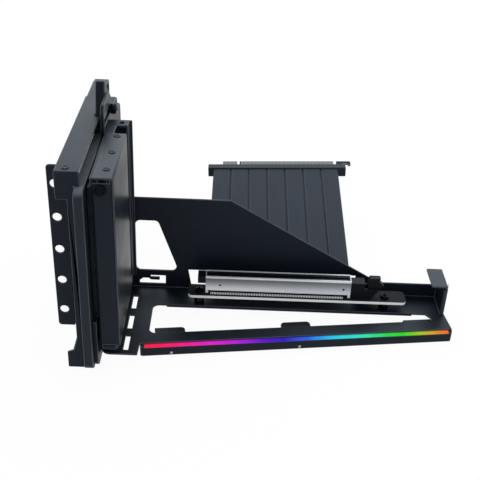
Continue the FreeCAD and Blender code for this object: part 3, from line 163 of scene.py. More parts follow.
class BracketFinish(bpy.types.PropertyGroup):
    """Colours and surface qualities of the bracket's finishes."""

    coat: colour("Coat", "Powder coat on the folded sheets", (0.0046, 0.0066, 0.0120))
    coat_rough: share("Coat roughness", "How matt the powder coat is", 0.44)
    # painted light: the frame's rails are paler so that they read lit, and the next colour is a painted
    # highlight on the rails' up-facing tops, which the hood's overhang shades
    rail: colour("Rail", "Coat of the frame where it is rubbed paler", (0.0125, 0.0160, 0.0225))
    rubbed: colour("Rubbed rail", "Top of the frame's rail, rubbed almost bare", (0.125, 0.140, 0.160))
    # partly wear, partly a painted highlight: the rounded edges are lighter than the coat
    worn: colour("Worn edge", "Coat worn thin on the rounded edges", (0.060, 0.067, 0.078))
    cover: colour("Cover", "Smooth paint on the slot cover", (0.0050, 0.0070, 0.0120))
    cover_rough: share("Cover roughness", "How matt the slot cover is", 0.36)
    moulding: colour("Moulding", "Black moulded plastic", (0.0040, 0.0048, 0.0066))
    plug: colour("Plug", "Moulded housing of the plug", (0.0120, 0.0155, 0.0220))
    hook: colour("Hook", "Rough coat of the end hook", (0.030, 0.034, 0.041))
    ribbon: colour("Ribbon", "Soft sheath of the riser ribbon", (0.0200, 0.0245, 0.0345))
    steel: colour("Steel", "Bright steel of the slot's shield and the bright screws", (0.62, 0.64, 0.67))
    board: colour("Board", "Solder mask of the boards", (0.0050, 0.0056, 0.0068))
    board_edge: colour("Board edge", "Cut edge of the boards", (0.80, 0.81, 0.82))
    # painted glint: the plated tails are near-white and matt instead of metal, so they read as lit in any
    # light
    contact: colour("Contact", "Plated contact tails", (0.93, 0.93, 0.91))
    finger: colour("Finger", "Plated fingers of the plug", (0.085, 0.088, 0.086))
    # painted shade: the brass posts are darkened almost to black because they stand in the shade under the
    # board
    brass: colour("Brass", "Darkened brass of the standoffs", (0.016, 0.0135, 0.0095))
    glow: share("Glow", "Strength of the light bar", 1.0, high=4.0)


class BracketDetail(bpy.types.PropertyGroup):
    """Sizes of the small forms that the finishing adds."""

    edge: length("Edge", "Rounding of the sheets' and mouldings' edges", 0.00034)
    frame_edge: length("Frame edge", "Rounding of the frame's edges", 0.00051)
    shield_edge: length("Shield edge", "Rounding of the shield's edges", 0.0004)
    recess: share("Recess", "Driver recess across, as a share of the head", 0.62)
    recess_deep: share("Recess depth", "Driver recess depth, as a share of the head's height", 0.75)
    bend: length("Ribbon bend", "Where the ribbon begins to rise, along Y", 0.049)
    lanes: number("Lanes", "Lanes across the ribbon", 7, low=1)
    groove: length("Groove", "Groove between two lanes", 0.0010)
    flutes: number("Flutes", "Flutes round the knob", 16, low=3)
    finger: length("Finger pitch", "Pitch of the contact fingers on the plug", 0.001)


class BracketStage(bpy.types.PropertyGroup):
    """Floor, light and camera."""

    floor: colour("Floor", "Pale floor", (0.93, 0.93, 0.93))
    pale: share("Paleness", "Share of plain white that the floor shows to the eye", 0.95)
    world: share("World", "Strength of the even light all round", 0.80, high=4.0)
    key: bpy.props.FloatProperty(
        name="Key", description="Power of the large lamp above", unit="POWER", default=10.5)
    lens: bpy.props.FloatProperty(name="Lens", description="Focal length", unit="CAMERA", default=64.1)
    eye: bpy.props.FloatVectorProperty(
        name="Eye", description="Camera's place", subtype="TRANSLATION", unit="LENGTH", size=3,
        default=(0.0934, -0.4009, 0.2517))


def grid_faces(rows, columns, wrap):
    """Quads between neighbours on a grid of rows by columns, joined round its columns if asked."""
    r, c = np.meshgrid(np.arange(rows - 1), np.arange(columns if wrap else columns - 1), indexing="ij")
    here, above = r * columns, (r + 1) * columns
    right = (c + 1) % columns
    return np.stack([here + c, here + right, above + right, above + c], -1).reshape(-1, 4)


def put_piece(name, points, faces, material, body, stands_for=()):
    """Makes a closed mesh piece from arrays, joins its doubled points and sets it on its body."""
    mesh = bpy.data.meshes.new(name)
    mesh.from_pydata(np.asarray(points, float).reshape(-1, 3).tolist(), [], np.asarray(faces).tolist())
    work = bmesh.new()
    work.from_mesh(mesh)
    bmesh.ops.remove_doubles(work, verts=work.verts, dist=JOIN)
    bmesh.ops.dissolve_degenerate(work, edges=work.edges, dist=SLIVER)
    bmesh.ops.recalc_face_normals(work, faces=work.faces)
    work.to_mesh(mesh)
    work.free()
    mesh.shade_smooth()
    mesh.set_sharp_from_angle(angle=SHARP_TURN)
    mesh.materials.append(material)
    piece = bpy.data.objects.new(name, mesh)
    bpy.context.scene.collection.objects.link(piece)
    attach(piece, body)
    if stands_for:
        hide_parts(*stands_for)


def body_of_node(node):
    """The body that a node rides on."""
    return next(body for body, nodes in frame["record"]["behaviour"]["bodies"].items() if node in nodes)


def corners_of(node):
    """The node's points as an array."""
    vertices = NODES[node].data.vertices
    places = np.empty(3 * len(vertices), np.float32)
    vertices.foreach_get("co", places)
    return places.reshape(-1, 3).astype(float)


def solids_of(node):
    """The points of each separate solid in a node. Every place has a number, and takes the lowest one
    among its neighbours on an edge, until nothing changes and a solid has one number."""
    edges = NODES[node].data.edges
    ends = np.empty(2 * len(edges), np.int32)
    edges.foreach_get("vertices", ends)
    points = corners_of(node)
    place = np.unique(np.round(points / NEAR), axis=0, return_inverse=True)[1].reshape(-1)
    first, second = place[ends.reshape(-1, 2)].T
    label = np.arange(place.max() + 1)
    settled = False
    while not settled:
        lowest = label.copy()
        np.minimum.at(lowest, first, label[second])
        np.minimum.at(lowest, second, label[first])
        settled = np.array_equal(lowest, label)
        label = lowest
    return [points[label[place] == solid] for solid in np.unique(label)]


def end_corners(node, low, high):
    """The lowest and highest place on Z of the node's far end at its left and at its right."""
    places = corners_of(node)
    end = places[np.abs(places[:, 1] - high.y) < NEAR]
    sides = [end[np.abs(end[:, 0] - x) < NEAR][:, 2] for x in (low.x, high.x)]
    return [(side.min(), side.max()) for side in sides]


def paint(material, *nodes):
    """Gives the nodes one material in every slot that they have."""
    for node in nodes:
        mesh = NODES[node].data
        if not mesh.materials:
            mesh.materials.append(material)
        for i in range(len(mesh.materials)):
            mesh.materials[i] = material


def soften(width, *nodes, worn=None):
    """Rounds the nodes' sharp edges, with their triangles joined first. Rounds given an edge material have
    their full width and that material, lighter than the coat as partly wear and partly a painted highlight,
    and plain ones shrink where they would overlap."""
    for node in nodes:
        piece = NODES[node]
        weld = piece.modifiers.new("join", "WELD")
        weld.merge_threshold = NEAR
        flats = piece.modifiers.new("flats", "DECIMATE")
        flats.decimate_type = "DISSOLVE"
        flats.angle_limit = FLAT_TURN
        bevel = piece.modifiers.new("edge", "BEVEL")
        bevel.width = width
        bevel.segments = 2
        bevel.limit_method = "ANGLE"
        bevel.angle_limit = ROUND_TURN
        bevel.use_clamp_overlap = worn is None
        if worn:
            piece.data.materials.append(worn)
            bevel.material = len(piece.data.materials) - 1


def seen_ray(tree):
    """1 for a ray from the eye, from gloss or through glass, and 0 for the light on the object."""
    path = tree.nodes.new("ShaderNodeLightPath")
    seen = path.outputs["Is Camera Ray"]
    for kind in ("Is Glossy Ray", "Is Transmission Ray"):
        either = tree.nodes.new("ShaderNodeMath")
        either.operation = "MAXIMUM"
        tree.links.new(seen, either.inputs[0])
        tree.links.new(path.outputs[kind], either.inputs[1])
        seen = either.outputs[0]
    return seen


class Nodes:
    """A short way to lay a material's nodes and link them."""

    def __init__(self, name):
        self.material = bpy.data.materials.new(name)
        self.material.use_nodes = True
        self.tree = self.material.node_tree
        self.shader = self.tree.nodes["Principled BSDF"]
        self.place = self.add("ShaderNodeTexCoord").outputs["Object"]

    def add(self, kind, **values):
        """A new node with the given settings."""
        node = self.tree.nodes.new(kind)
        for key, value in values.items():
            setattr(node, key, value)
        return node

    def feed(self, value, target):
        """Puts another node's output, a number or a colour into a socket."""
        if isinstance(value, bpy.types.NodeSocket):
            self.tree.links.new(value, target)
        elif isinstance(value, (int, float)):
            target.default_value = value
        else:
            target.default_value = (*value, 1.0)

    def set(self, **values):
        """Sets the shader's plain sockets."""
        for key, value in values.items():
            self.shader.inputs[key.replace("_", " ")].default_value = value

    def surface(self, tone, rough):
        """Gives the shader its colour and its roughness."""
        self.feed(tone, self.shader.inputs["Base Color"])
        self.feed(rough, self.shader.inputs["Roughness"])

    def bump(self, height, strength, distance):
        """Raises the surface by a height from 0 to 1."""
        node = self.add("ShaderNodeBump")
        self.feed(strength, node.inputs["Strength"])
        self.feed(distance, node.inputs["Distance"])
        self.feed(height, node.inputs["Height"])
        self.feed(node.outputs["Normal"], self.shader.inputs["Normal"])

    def mapped(self, scale=(1.0, 1.0, 1.0), turn=(0.0, 0.0, 0.0)):
        """The place, turned and stretched."""
        node = self.add("ShaderNodeMapping")
        node.inputs["Scale"].default_value = scale
        node.inputs["Rotation"].default_value = turn
        self.feed(self.place, node.inputs["Vector"])
        return node.outputs["Vector"]

    def parts(self, vector):
        """A vector's X, Y and Z."""
        node = self.add("ShaderNodeSeparateXYZ")
        self.feed(vector, node.inputs["Vector"])
        return node.outputs

    def facing(self):
        """X, Y and Z of the direction that a face looks in."""
        return self.parts(self.add("ShaderNodeNewGeometry").outputs["True Normal"])

    def noise(self, vector, scale, detail=3.0, rough=0.5):
        """Cloudy noise from 0 to 1."""
        node = self.add("ShaderNodeTexNoise")
        self.feed(scale, node.inputs["Scale"])
        self.feed(detail, node.inputs["Detail"])
        self.feed(rough, node.inputs["Roughness"])
        self.feed(vector, node.inputs["Vector"])
        return node.outputs["Fac"]

    def bands(self, scale):
        """Straight waves across X, from 0 to 1."""
        node = self.add("ShaderNodeTexWave", wave_type="BANDS", bands_direction="X")
        self.feed(scale, node.inputs["Scale"])
        self.feed(0.0, node.inputs["Distortion"])
        self.feed(self.place, node.inputs["Vector"])
        return node.outputs["Fac"]

    def between(self, value, start, stop, soft=False):
        """How far a value has come from a start, 0, to a stop, 1."""
        node = self.add("ShaderNodeMapRange", interpolation_type="SMOOTHSTEP" if soft else "LINEAR")
        self.feed(start, node.inputs["From Min"])
        self.feed(stop, node.inputs["From Max"])
        self.feed(value, node.inputs["Value"])
        return node.outputs["Result"]

    def spread(self, value, low, high):
        """A value from 0 to 1 carried to a range."""
        node = self.add("ShaderNodeMapRange")
        self.feed(low, node.inputs["To Min"])
        self.feed(high, node.inputs["To Max"])
        self.feed(value, node.inputs["Value"])
        return node.outputs["Result"]

    def math(self, kind, *values):
        """A sum of one to three values."""
        node = self.add("ShaderNodeMath", operation=kind)
        for value, socket in zip(values, node.inputs):
            self.feed(value, socket)
        return node.outputs[0]

    def mix(self, factor, first, second):
        """Two colours mixed."""
        node = self.add("ShaderNodeMix", data_type="RGBA")
        self.feed(factor, node.inputs[MIX_FACTOR])
        self.feed(first, node.inputs[MIX_FIRST])
        self.feed(second, node.inputs[MIX_SECOND])
        return node.outputs[MIX_RESULT]

    def ramp(self, value, tones):
        """A run of colours with its stops at the given places."""
        node = self.add("ShaderNodeValToRGB")
        stops = node.color_ramp.elements
        for stop, (place, tone) in zip(stops, (tones[0], tones[-1])):
            stop.position = place
            stop.color = (*tone, 1.0)
        for place, tone in tones[1:-1]:
            stops.new(place).color = (*tone, 1.0)
        self.feed(value, node.inputs["Fac"])
        return node.outputs["Color"]


def shade(base, factor):
    """A colour made darker or lighter by a factor."""
    return tuple(min(1.0, part * factor) for part in base)


def sprayed(n, tone, rough, grain, specular):
    """Finishes a sprayed coat of a given tone: fine orange-peel bump and a slow drift of gloss."""
    n.surface(tone, n.spread(n.noise(n.place, scale=60.0), rough - 0.05, rough + 0.06))
    n.set(Specular_IOR_Level=specular, Specular_Tint=COOL)
    n.bump(n.noise(n.place, scale=2600.0, detail=2.0), grain, distance=0.00012)
    return n.material


def coat_material(name, base, rough, grain=0.10, specular=0.16):
    """Sprayed coat with a slow drift of tone."""
    n = Nodes(name)
    drift = n.noise(n.place, scale=22.0, detail=4.0)
    return sprayed(n, n.mix(drift, shade(base, 0.82), shade(base, 1.22)), rough, grain, specular)


def edge_wear_and_highlight_material(name, base, worn, rough):
    """Coat worn thin on an edge, in uneven runs, which is partly wear and partly a painted highlight."""
    n = Nodes(name)
    runs = n.noise(n.place, scale=55.0, detail=5.0, rough=0.6)
    n.surface(n.mix(runs, shade(base, 1.5), shade(worn, 1.3)), n.spread(runs, rough, rough - 0.10))
    n.set(Specular_IOR_Level=0.25, Specular_Tint=COOL)
    return n.material


def frame_material(name, base, pale, rubbed, rough):
    """Sprayed coat of the frame with light and shade painted into it: paler on the rails in front of the fin
    as painted light, lighter still on the faces there that look up as a painted highlight, full black on the
    fin as painted shade."""
    n = Nodes(name)
    rail = n.between(n.parts(n.place)["Y"], FIN_START, RAILS_END, soft=True)
    # share of painted light on the rails in front of the fin
    rail_painted_light = n.math("MULTIPLY", rail, n.spread(n.noise(n.place, scale=22.0, detail=4.0), 0.75, 1.0))
    top = n.math("MULTIPLY", n.between(n.facing()["Z"], 0.25, 1.0, soft=True), rail_painted_light)
    # painted highlight on the up-facing rail tops, painted light on the rest of the rails, painted shade on
    # the fin
    tone = n.mix(top, n.mix(rail_painted_light, shade(base, 0.35), pale), rubbed)
    return sprayed(n, tone, rough, grain=0.10, specular=0.16)


def moulded_material(name, base, rough=0.46):
    """Moulded plastic: a fine spark-eroded grain and a faint flow of tone."""
    n = Nodes(name)
    flow = n.noise(n.mapped(scale=(1.0, 4.0, 4.0)), scale=45.0)
    gloss = n.spread(n.noise(n.place, scale=900.0), rough - 0.06, rough + 0.08)
    n.surface(n.mix(flow, shade(base, 0.8), shade(base, 1.3)), gloss)
    n.set(Specular_IOR_Level=0.10)
    n.bump(n.noise(n.place, scale=3800.0, detail=2.0), strength=0.12, distance=0.0001)
    return n.material


def drawn_lines(n):
    """Long fine lines along X, raised a little, as the drawing of the metal leaves them."""
    lines = n.noise(n.mapped(scale=(1.0, 60.0, 60.0)), scale=120.0, detail=4.0, rough=0.6)
    n.bump(lines, strength=0.012, distance=0.00005)
    return lines


def drawn_steel_material(name, base, rough=0.3):
    """Drawn steel: its lines vary the tone and the gloss."""
    n = Nodes(name)
    lines = drawn_lines(n)
    tone = n.mix(lines, shade(base, 0.93), shade(base, 1.06))
    n.surface(tone, n.spread(lines, rough - 0.04, rough + 0.06))
    n.set(Metallic=1.0)
    return n.material


def shield_material(name, base):
    """Tinned steel sheet with drawn lines, and a painted reflection up its height: bright at the foot, dark
    below the top bend, and bright on the top bend.
    """
    low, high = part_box("slot_shield")
    n = Nodes(name)
    lines = drawn_lines(n)
    level = n.between(n.parts(n.place)["Z"], low.z, high.z)
    drift = n.math("MULTIPLY_ADD", lines, 0.10, -0.05)
    # painted reflection: brightness set by height up the shield
    tone = n.ramp(n.math("ADD", level, drift), [(place, shade(base, tone)) for place, tone in SHIELD_PAINTED_SHEEN])
    n.surface(tone, n.spread(lines, 0.24, 0.34))
    n.set(Metallic=0.3)
    return n.material


def board_material(name, mask, edge):
    """Circuit board: dark mask with fine tracks on its faces, and a pale cut edge."""
    n = Nodes(name)
    side = n.math("LESS_THAN", n.math("ABSOLUTE", n.facing()["Z"]), 0.5)
    weave = n.noise(n.place, scale=1500.0)
    tracks = n.bands(scale=320.0)
    face = n.mix(n.math("MULTIPLY", tracks, weave), shade(mask, 0.8), shade(mask, 1.9))
    cut = n.mix(weave, shade(edge, 0.85), shade(edge, 1.08))
    n.surface(n.mix(side, face, cut), n.spread(weave, 0.62, 0.76))
    n.set(Specular_IOR_Level=0.12)
    n.bump(tracks, strength=0.05, distance=0.00004)
    return n.material


def ribbon_material(name, base, start, pitch, groove):
    """Soft sheath: fine lengthwise wire lines, dull and a little uneven, with painted shade in the grooves
    between lanes and a painted highlight on the shoulder beside each."""
    n = Nodes(name)
    dull = n.noise(n.mapped(scale=(1.0, 0.15, 1.0)), scale=160.0, detail=4.0)
    tone = n.mix(dull, shade(base, 0.86), shade(base, 1.14))
    middle = 0.5 * pitch
    lane = n.math("FLOORED_MODULO", n.math("SUBTRACT", n.parts(n.place)["X"], start - middle), pitch)
    # painted shade down each groove, then a painted highlight on the shoulder beside it
    for line, reach, factor in ((middle, groove, 0.10), (middle + 1.1 * groove, 0.55 * groove, 1.6)):
        away = n.math("ABSOLUTE", n.math("SUBTRACT", lane, line))
        tone = n.mix(n.between(away, reach, 0.3 * reach, soft=True), tone, shade(base, factor))
    n.surface(tone, n.spread(dull, 0.52, 0.68))
    n.set(Specular_IOR_Level=0.18, Specular_Tint=COOL)
    n.bump(n.bands(scale=260.0), strength=0.10, distance=0.00010)
    return n.material


def glow_material(name, strength):
    """Milky strip lit from inside: the colour runs along the bar, a little brighter over each light
    and fading at the strip's upper and lower edge."""
    low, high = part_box("light_diffuser")
    turn = math.atan2(high.y - low.y - STRIP_DEEP, high.x - low.x)
    ahead = Vector((math.cos(turn), math.sin(turn), 0.0))
    n = Nodes(name)
    run = n.parts(n.mapped(turn=(0.0, 0.0, -turn)))["X"]
    along = n.between(run, low.dot(ahead), high.dot(ahead))
    pulse = n.math("SINE", n.math("MULTIPLY", run, 2.0 * math.pi / LIGHT_PITCH))
    level = n.between(n.parts(n.place)["Z"], low.z, high.z)
    off_middle = n.math("ABSOLUTE", n.math("SUBTRACT", level, 0.5))
    fade = n.between(off_middle, 0.50, 0.28, soft=True)
    lit = n.math("MULTIPLY", n.spread(pulse, 0.94 * strength, strength), fade)
    n.surface(n.mix(along, *STRIP), 0.5)
    n.feed(n.ramp(along, GLOW), n.shader.inputs["Emission Color"])
    n.feed(lit, n.shader.inputs["Emission Strength"])
    n.set(Specular_IOR_Level=0.03)
    return n.material


def contact_material(name, base, metallic=1.0):
    """Plated or turned metal, slightly mottled."""
    n = Nodes(name)
    mottle = n.noise(n.place, scale=700.0)
    n.surface(n.mix(mottle, shade(base, 0.9), shade(base, 1.08)), n.spread(mottle, 0.22, 0.36))
    n.set(Metallic=metallic)
    return n.material


def light_board_material(name):
    """White board of the lights, specked a little yellow."""
    n = Nodes(name)
    speck = n.noise(n.place, scale=400.0)
    n.surface(n.mix(speck, (0.70, 0.70, 0.66), (0.82, 0.80, 0.70)), n.spread(speck, 0.4, 0.55))
    return n.material


def soft_step(value, limit, blur):
    """1 below a limit and 0 above it: 1 / (1 + exp((v - l) / (b l)))."""
    return 1.0 / (1.0 + np.exp((value - limit) / (blur * limit)))


def screw_points(head_r, head_h, shank_r, shank, recess, deep, drive, steps=48, rings=15):
    """A screw of revolution about Z with its seat at 0. The head's top is h (1 - f (r / R)^4 - d s),
    where f is the dome's fall and s the recess: a soft step of r for a round socket, and for a cross the
    larger of two soft bars along the diameters. Below it are the rim, the seat, the shank and the point."""
    turn = np.linspace(0.0, 2.0 * math.pi, steps, endpoint=False)
    rise = np.linspace(0.0, 1.0, rings)[:, None]
    r = head_r * rise + 0.0 * turn
    a, b = r * np.cos(turn), r * np.sin(turn)
    reach = recess * head_r
    if drive == "cross":
        across = [soft_step(np.abs(way), BAR_HALF * reach, BAR_BLUR) for way in (a, b)]
        along = [soft_step(np.abs(way), reach, BAR_BLUR) for way in (b, a)]
        hollow = np.maximum(across[0] * along[0], across[1] * along[1])
    else:
        hollow = soft_step(r, reach, SOCKET_BLUR)
    top = head_h * (1.0 - DOME * rise ** 4 - deep * hollow)
    below = np.array([(head_r, 0.0), (shank_r, 0.0), (shank_r, TAPER * shank_r - shank),
                      ((1.0 - TAPER) * shank_r, -shank), (0.0, -shank)])
    radius, height = below.T[..., None]
    x = np.concatenate([a, radius * np.cos(turn)])
    y = np.concatenate([b, radius * np.sin(turn)])
    z = np.concatenate([top, height + 0.0 * turn])
    return np.stack([x, y, z], -1), grid_faces(len(x), steps, True)


def knob_points(radius, thick, shank_r, shank, flutes, steps=8):
    """A fluted knob about Z with its underside at 0: the rim's radius is R - k (1 - |cos(n t / 2)|),
    faded out towards its chamfers, with a dished top and a screw shank below."""
    turn = np.linspace(0.0, 2.0 * math.pi, flutes * steps, endpoint=False)
    scallop = FLUTE_DEEP * radius * (1.0 - np.abs(np.cos(flutes * turn / 2.0)))
    # from the middle of the top to the underside: share of the radius, of the height and of the flutes
    rows = np.array([
        (0.0, 0.82, 0.0), (0.55, 0.82, 0.0), (0.66, 1.0, 0.0), (0.92, 1.0, 0.3), (1.0, 0.86, 1.0),
        (1.0, 0.5, 1.0), (1.0, 0.14, 1.0), (0.92, 0.0, 0.3)])
    out, up, fluted = rows.T[..., None]
    stem = np.array([(shank_r, 0.0), (shank_r, -shank), (0.0, -shank)])
    stem_r, stem_z = stem.T[..., None]
    r = np.concatenate([radius * out - fluted * scallop, stem_r + 0.0 * turn])
    z = np.concatenate([thick * up, stem_z]) + 0.0 * turn
    return np.stack([r * np.cos(turn), r * np.sin(turn), z], -1), grid_faces(len(r), turn.size, True)


def on_axis(points, axis, side, seat):
    """Turns points about Z so that their +Z runs along an axis to a side, and sets them on the seat."""
    turned = np.empty_like(points)
    for source, sign in enumerate((side, 1.0, side)):
        turned[..., (axis + 1 + source) % 3] = sign * points[..., source]
    return turned + np.asarray(seat)


class BRACKET_OT_coat(bpy.types.Operator):
    """Coats the folded sheets, the frame, the slot cover and the end hook"""

    bl_idname = "bracket.coat"
    bl_label = "Coat the sheets"

    def execute(self, context):
        finish, detail = context.scene.bracket_finish, context.scene.bracket_detail
        rough = finish.coat_rough
        paint(coat_material("powder_coat", finish.coat, rough), *SHEETS)
        paint(frame_material("frame_coat", finish.coat, finish.rail, finish.rubbed, rough), "rear_frame")
        cover = coat_material("cover_paint", finish.cover, finish.cover_rough, grain=0.03, specular=0.18)
        paint(cover, "slot_cover")
        paint(coat_material("hook_coat", finish.hook, 0.55, grain=0.4, specular=0.3), "end_hook")
        # the edge material is partly wear and partly a painted highlight on the rounded edges
        worn = edge_wear_and_highlight_material("edge_wear_and_highlight_coat", finish.coat, finish.worn, rough)
        soften(detail.edge, *SHEETS, "slot_cover", "end_hook", worn=worn)
        soften(detail.frame_edge, "rear_frame", worn=worn)
        return {"FINISHED"}


class BRACKET_OT_mould(bpy.types.Operator):
    """Finishes the moulded slot, latch and plug housing"""

    bl_idname = "bracket.mould"
    bl_label = "Finish the mouldings"

    def execute(self, context):
        finish, detail = context.scene.bracket_finish, context.scene.bracket_detail
        paint(moulded_material("black_moulding", finish.moulding), "slot_body", "slot_latch")
        paint(moulded_material("plug_moulding", finish.plug), "plug_housing")
        soften(detail.edge, "slot_body", "slot_latch", "plug_housing")
        return {"FINISHED"}


class BRACKET_OT_riser(bpy.types.Operator):
    """Finishes the riser board, its posts, the shield, the contact tails and the plug's board"""

    bl_idname = "bracket.riser"
    bl_label = "Finish the riser"

    def execute(self, context):
        finish, detail = context.scene.bracket_finish, context.scene.bracket_detail
        paint(board_material("riser_mask", finish.board, finish.board_edge), "riser_board")
        paint(board_material("plug_mask", finish.board, shade(finish.board_edge, 0.3)), "plug_card")
        paint(shield_material("shield_steel", finish.steel), "slot_shield")
        # painted glint on the contact tails
        paint(contact_material("plated_contact_painted_glint", finish.contact, metallic=0.0), "slot_contacts")
        # painted shade on the posts under the board
        paint(contact_material("turned_brass", finish.brass), "board_posts")
        soften(detail.shield_edge, "slot_shield")
        return {"FINISHED"}


class BRACKET_OT_ribbon(bpy.types.Operator):
    """Makes the riser ribbon's rounded lanes"""

    bl_idname = "bracket.ribbon"
    bl_label = "Make the ribbon"

    # depth of a groove as a share of the half thickness, and rounding of the ribbon's two edges
    groove_deep = 0.62
    edge_round = 0.0003
    # softness of the bend, its length, and the gap to the next row after it
    bend_soft = 0.004
    bend_long = 0.012
    bend_gap = 0.002
    # columns across, and rows up to the end of the bend and after it
    columns = 281
    rows = (24, 30)

    def execute(self, context):
        finish, detail = context.scene.bracket_finish, context.scene.bracket_detail
        low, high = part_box("riser_ribbon")
        pitch = (high.x - low.x + detail.groove) / detail.lanes
        points, faces = self.surface(low, high, pitch, detail)
        start = low.x - detail.groove / 2.0
        sheath = ribbon_material("ribbon_sheath", finish.ribbon, start, pitch, detail.groove)
        put_piece("ribbon_sheath", points, faces, sheath, "carrier",
                  ("riser_ribbon",))
        return {"FINISHED"}

    def surface(self, low, high, pitch, detail):
        """A closed profile carried along the ribbon's path. Across, each half is
        t/2 (1 - exp(-e / r)) (1 - k exp(-(d / w)^2)), with e the distance to the nearer edge and d the
        distance to the nearest groove. Along, with s the way past the bend, the path rises as
        s + sqrt(s^2 + c^2), from level on the board to its far end, which is higher at the right by
        the tilt of the plug."""
        left_end, right_end = end_corners("riser_ribbon", low, high)
        thick = left_end[1] - left_end[0]
        across = np.linspace(low.x, high.x, self.columns)
        offset = (across - low.x + detail.groove / 2.0) % pitch
        gap = np.minimum(offset, pitch - offset)
        inner = (across > low.x + pitch / 2.0) & (across < high.x - pitch / 2.0)
        groove = self.groove_deep * np.exp(-(gap / (0.5 * detail.groove)) ** 2) * inner
        edge = np.minimum(across - low.x, high.x - across)
        half = thick / 2.0 * (1.0 - np.exp(-edge / self.edge_round)) * (1.0 - groove)
        section_x = np.concatenate([across, across[-2:0:-1]])
        section_z = np.concatenate([half, -half[-2:0:-1]])
        bend_end = detail.bend + self.bend_long
        y = np.concatenate([[low.y], np.linspace(low.y, bend_end, self.rows[0]),
                            np.linspace(bend_end + self.bend_gap, high.y, self.rows[1]), [high.y]])
        past = y - detail.bend
        ramp = past + np.sqrt(past ** 2 + self.bend_soft ** 2)
        ramp = np.clip((ramp - ramp[0]) / (ramp[-1] - ramp[0]), 0.0, 1.0)
        rise = np.interp(section_x, (low.x, high.x), (left_end[0] - low.z, right_end[0] - low.z))
        fill = np.ones(len(y))
        fill[[0, -1]] = 0.0
        points = np.empty((len(y), section_x.size, 3))
        points[..., 0] = section_x
        points[..., 1] = y[:, None]
        points[..., 2] = low.z + thick / 2.0 + ramp[:, None] * rise + fill[:, None] * section_z
        return points, grid_faces(len(y), section_x.size, True)


class BRACKET_OT_plug(bpy.types.Operator):
    """Makes the contact fingers on the plug's board"""

    bl_idname = "bracket.plug"
    bl_label = "Make the plug's fingers"

    # shoulder left of the board's tongue, first finger and key notch from the tongue's end, run of fingers
    shoulder = 0.0024
    first = 0.0007
    key = 0.0105
    run = 0.0812
    # room left and right of the key notch's left side
    key_room = (0.0006, 0.0025)
    # a finger's half width and thickness, and its distance from the housing and from the board's edge
    half = 0.00035
    thick = 0.00003
    from_housing = 0.0012
    from_edge = 0.0004

    def execute(self, context):
        finish, detail = context.scene.bracket_finish, context.scene.bracket_detail
        low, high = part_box("riser_ribbon")
        left_end, right_end = end_corners("riser_ribbon", low, high)
        tilt = math.atan2(right_end[0] - left_end[0], high.x - low.x)
        cosine, sine = math.cos(tilt), math.sin(tilt)
        level = np.array([[cosine, 0.0, sine], [0.0, 1.0, 0.0], [-sine, 0.0, cosine]])
        points, faces = self.fingers(corners_of("plug_card") @ level.T, detail.finger)
        put_piece("edge_fingers", points @ level, faces, contact_material("edge_finger", finish.finger),
                  "carrier")
        return {"FINISHED"}

    def fingers(self, card, pitch):
        """Flat bars on both faces of a level card: (x + w u, a + (b - a) v, face + t) for the corners
        u of -1 and 1 and v of 0 and 1, from the face, t = 0, to the finger's thickness."""
        low, high = card.min(0), card.max(0)
        tongue = low[0] + self.shoulder
        x = np.arange(tongue + self.first, tongue + self.first + self.run, pitch)
        notch = tongue + self.key
        x = x[(x < notch - self.key_room[0]) | (x > notch + self.key_room[1])]
        u, v = np.array([[-1.0, 1.0, 1.0, -1.0], [0.0, 0.0, 1.0, 1.0]])
        start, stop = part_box("plug_housing")[1].y + self.from_housing, high[1] - self.from_edge
        heights = np.array([[high[2], high[2] + self.thick], [low[2], low[2] - self.thick]])
        points = np.empty((2, 2, x.size, 4, 3))
        points[..., 0] = x[:, None] + self.half * u
        points[..., 1] = start + (stop - start) * v
        points[..., 2] = heights[:, :, None, None]
        index = np.arange(points.size // 3).reshape(2, 2, x.size, 4)
        base, cap = index[:, 0].reshape(-1, 4), index[:, 1].reshape(-1, 4)
        walls = np.stack([base, np.roll(base, -1, 1), np.roll(cap, -1, 1), cap], -1).reshape(-1, 4)
        return points, np.concatenate([cap, walls, base[:, ::-1]])


class BRACKET_OT_light(bpy.types.Operator):
    """Lights the bar with a run of colours"""

    bl_idname = "bracket.light"
    bl_label = "Light the bar"

    def execute(self, context):
        paint(glow_material("bar_glow", context.scene.bracket_finish.glow), "light_diffuser")
        paint(light_board_material("light_strip"), "led_strip")
        return {"FINISHED"}


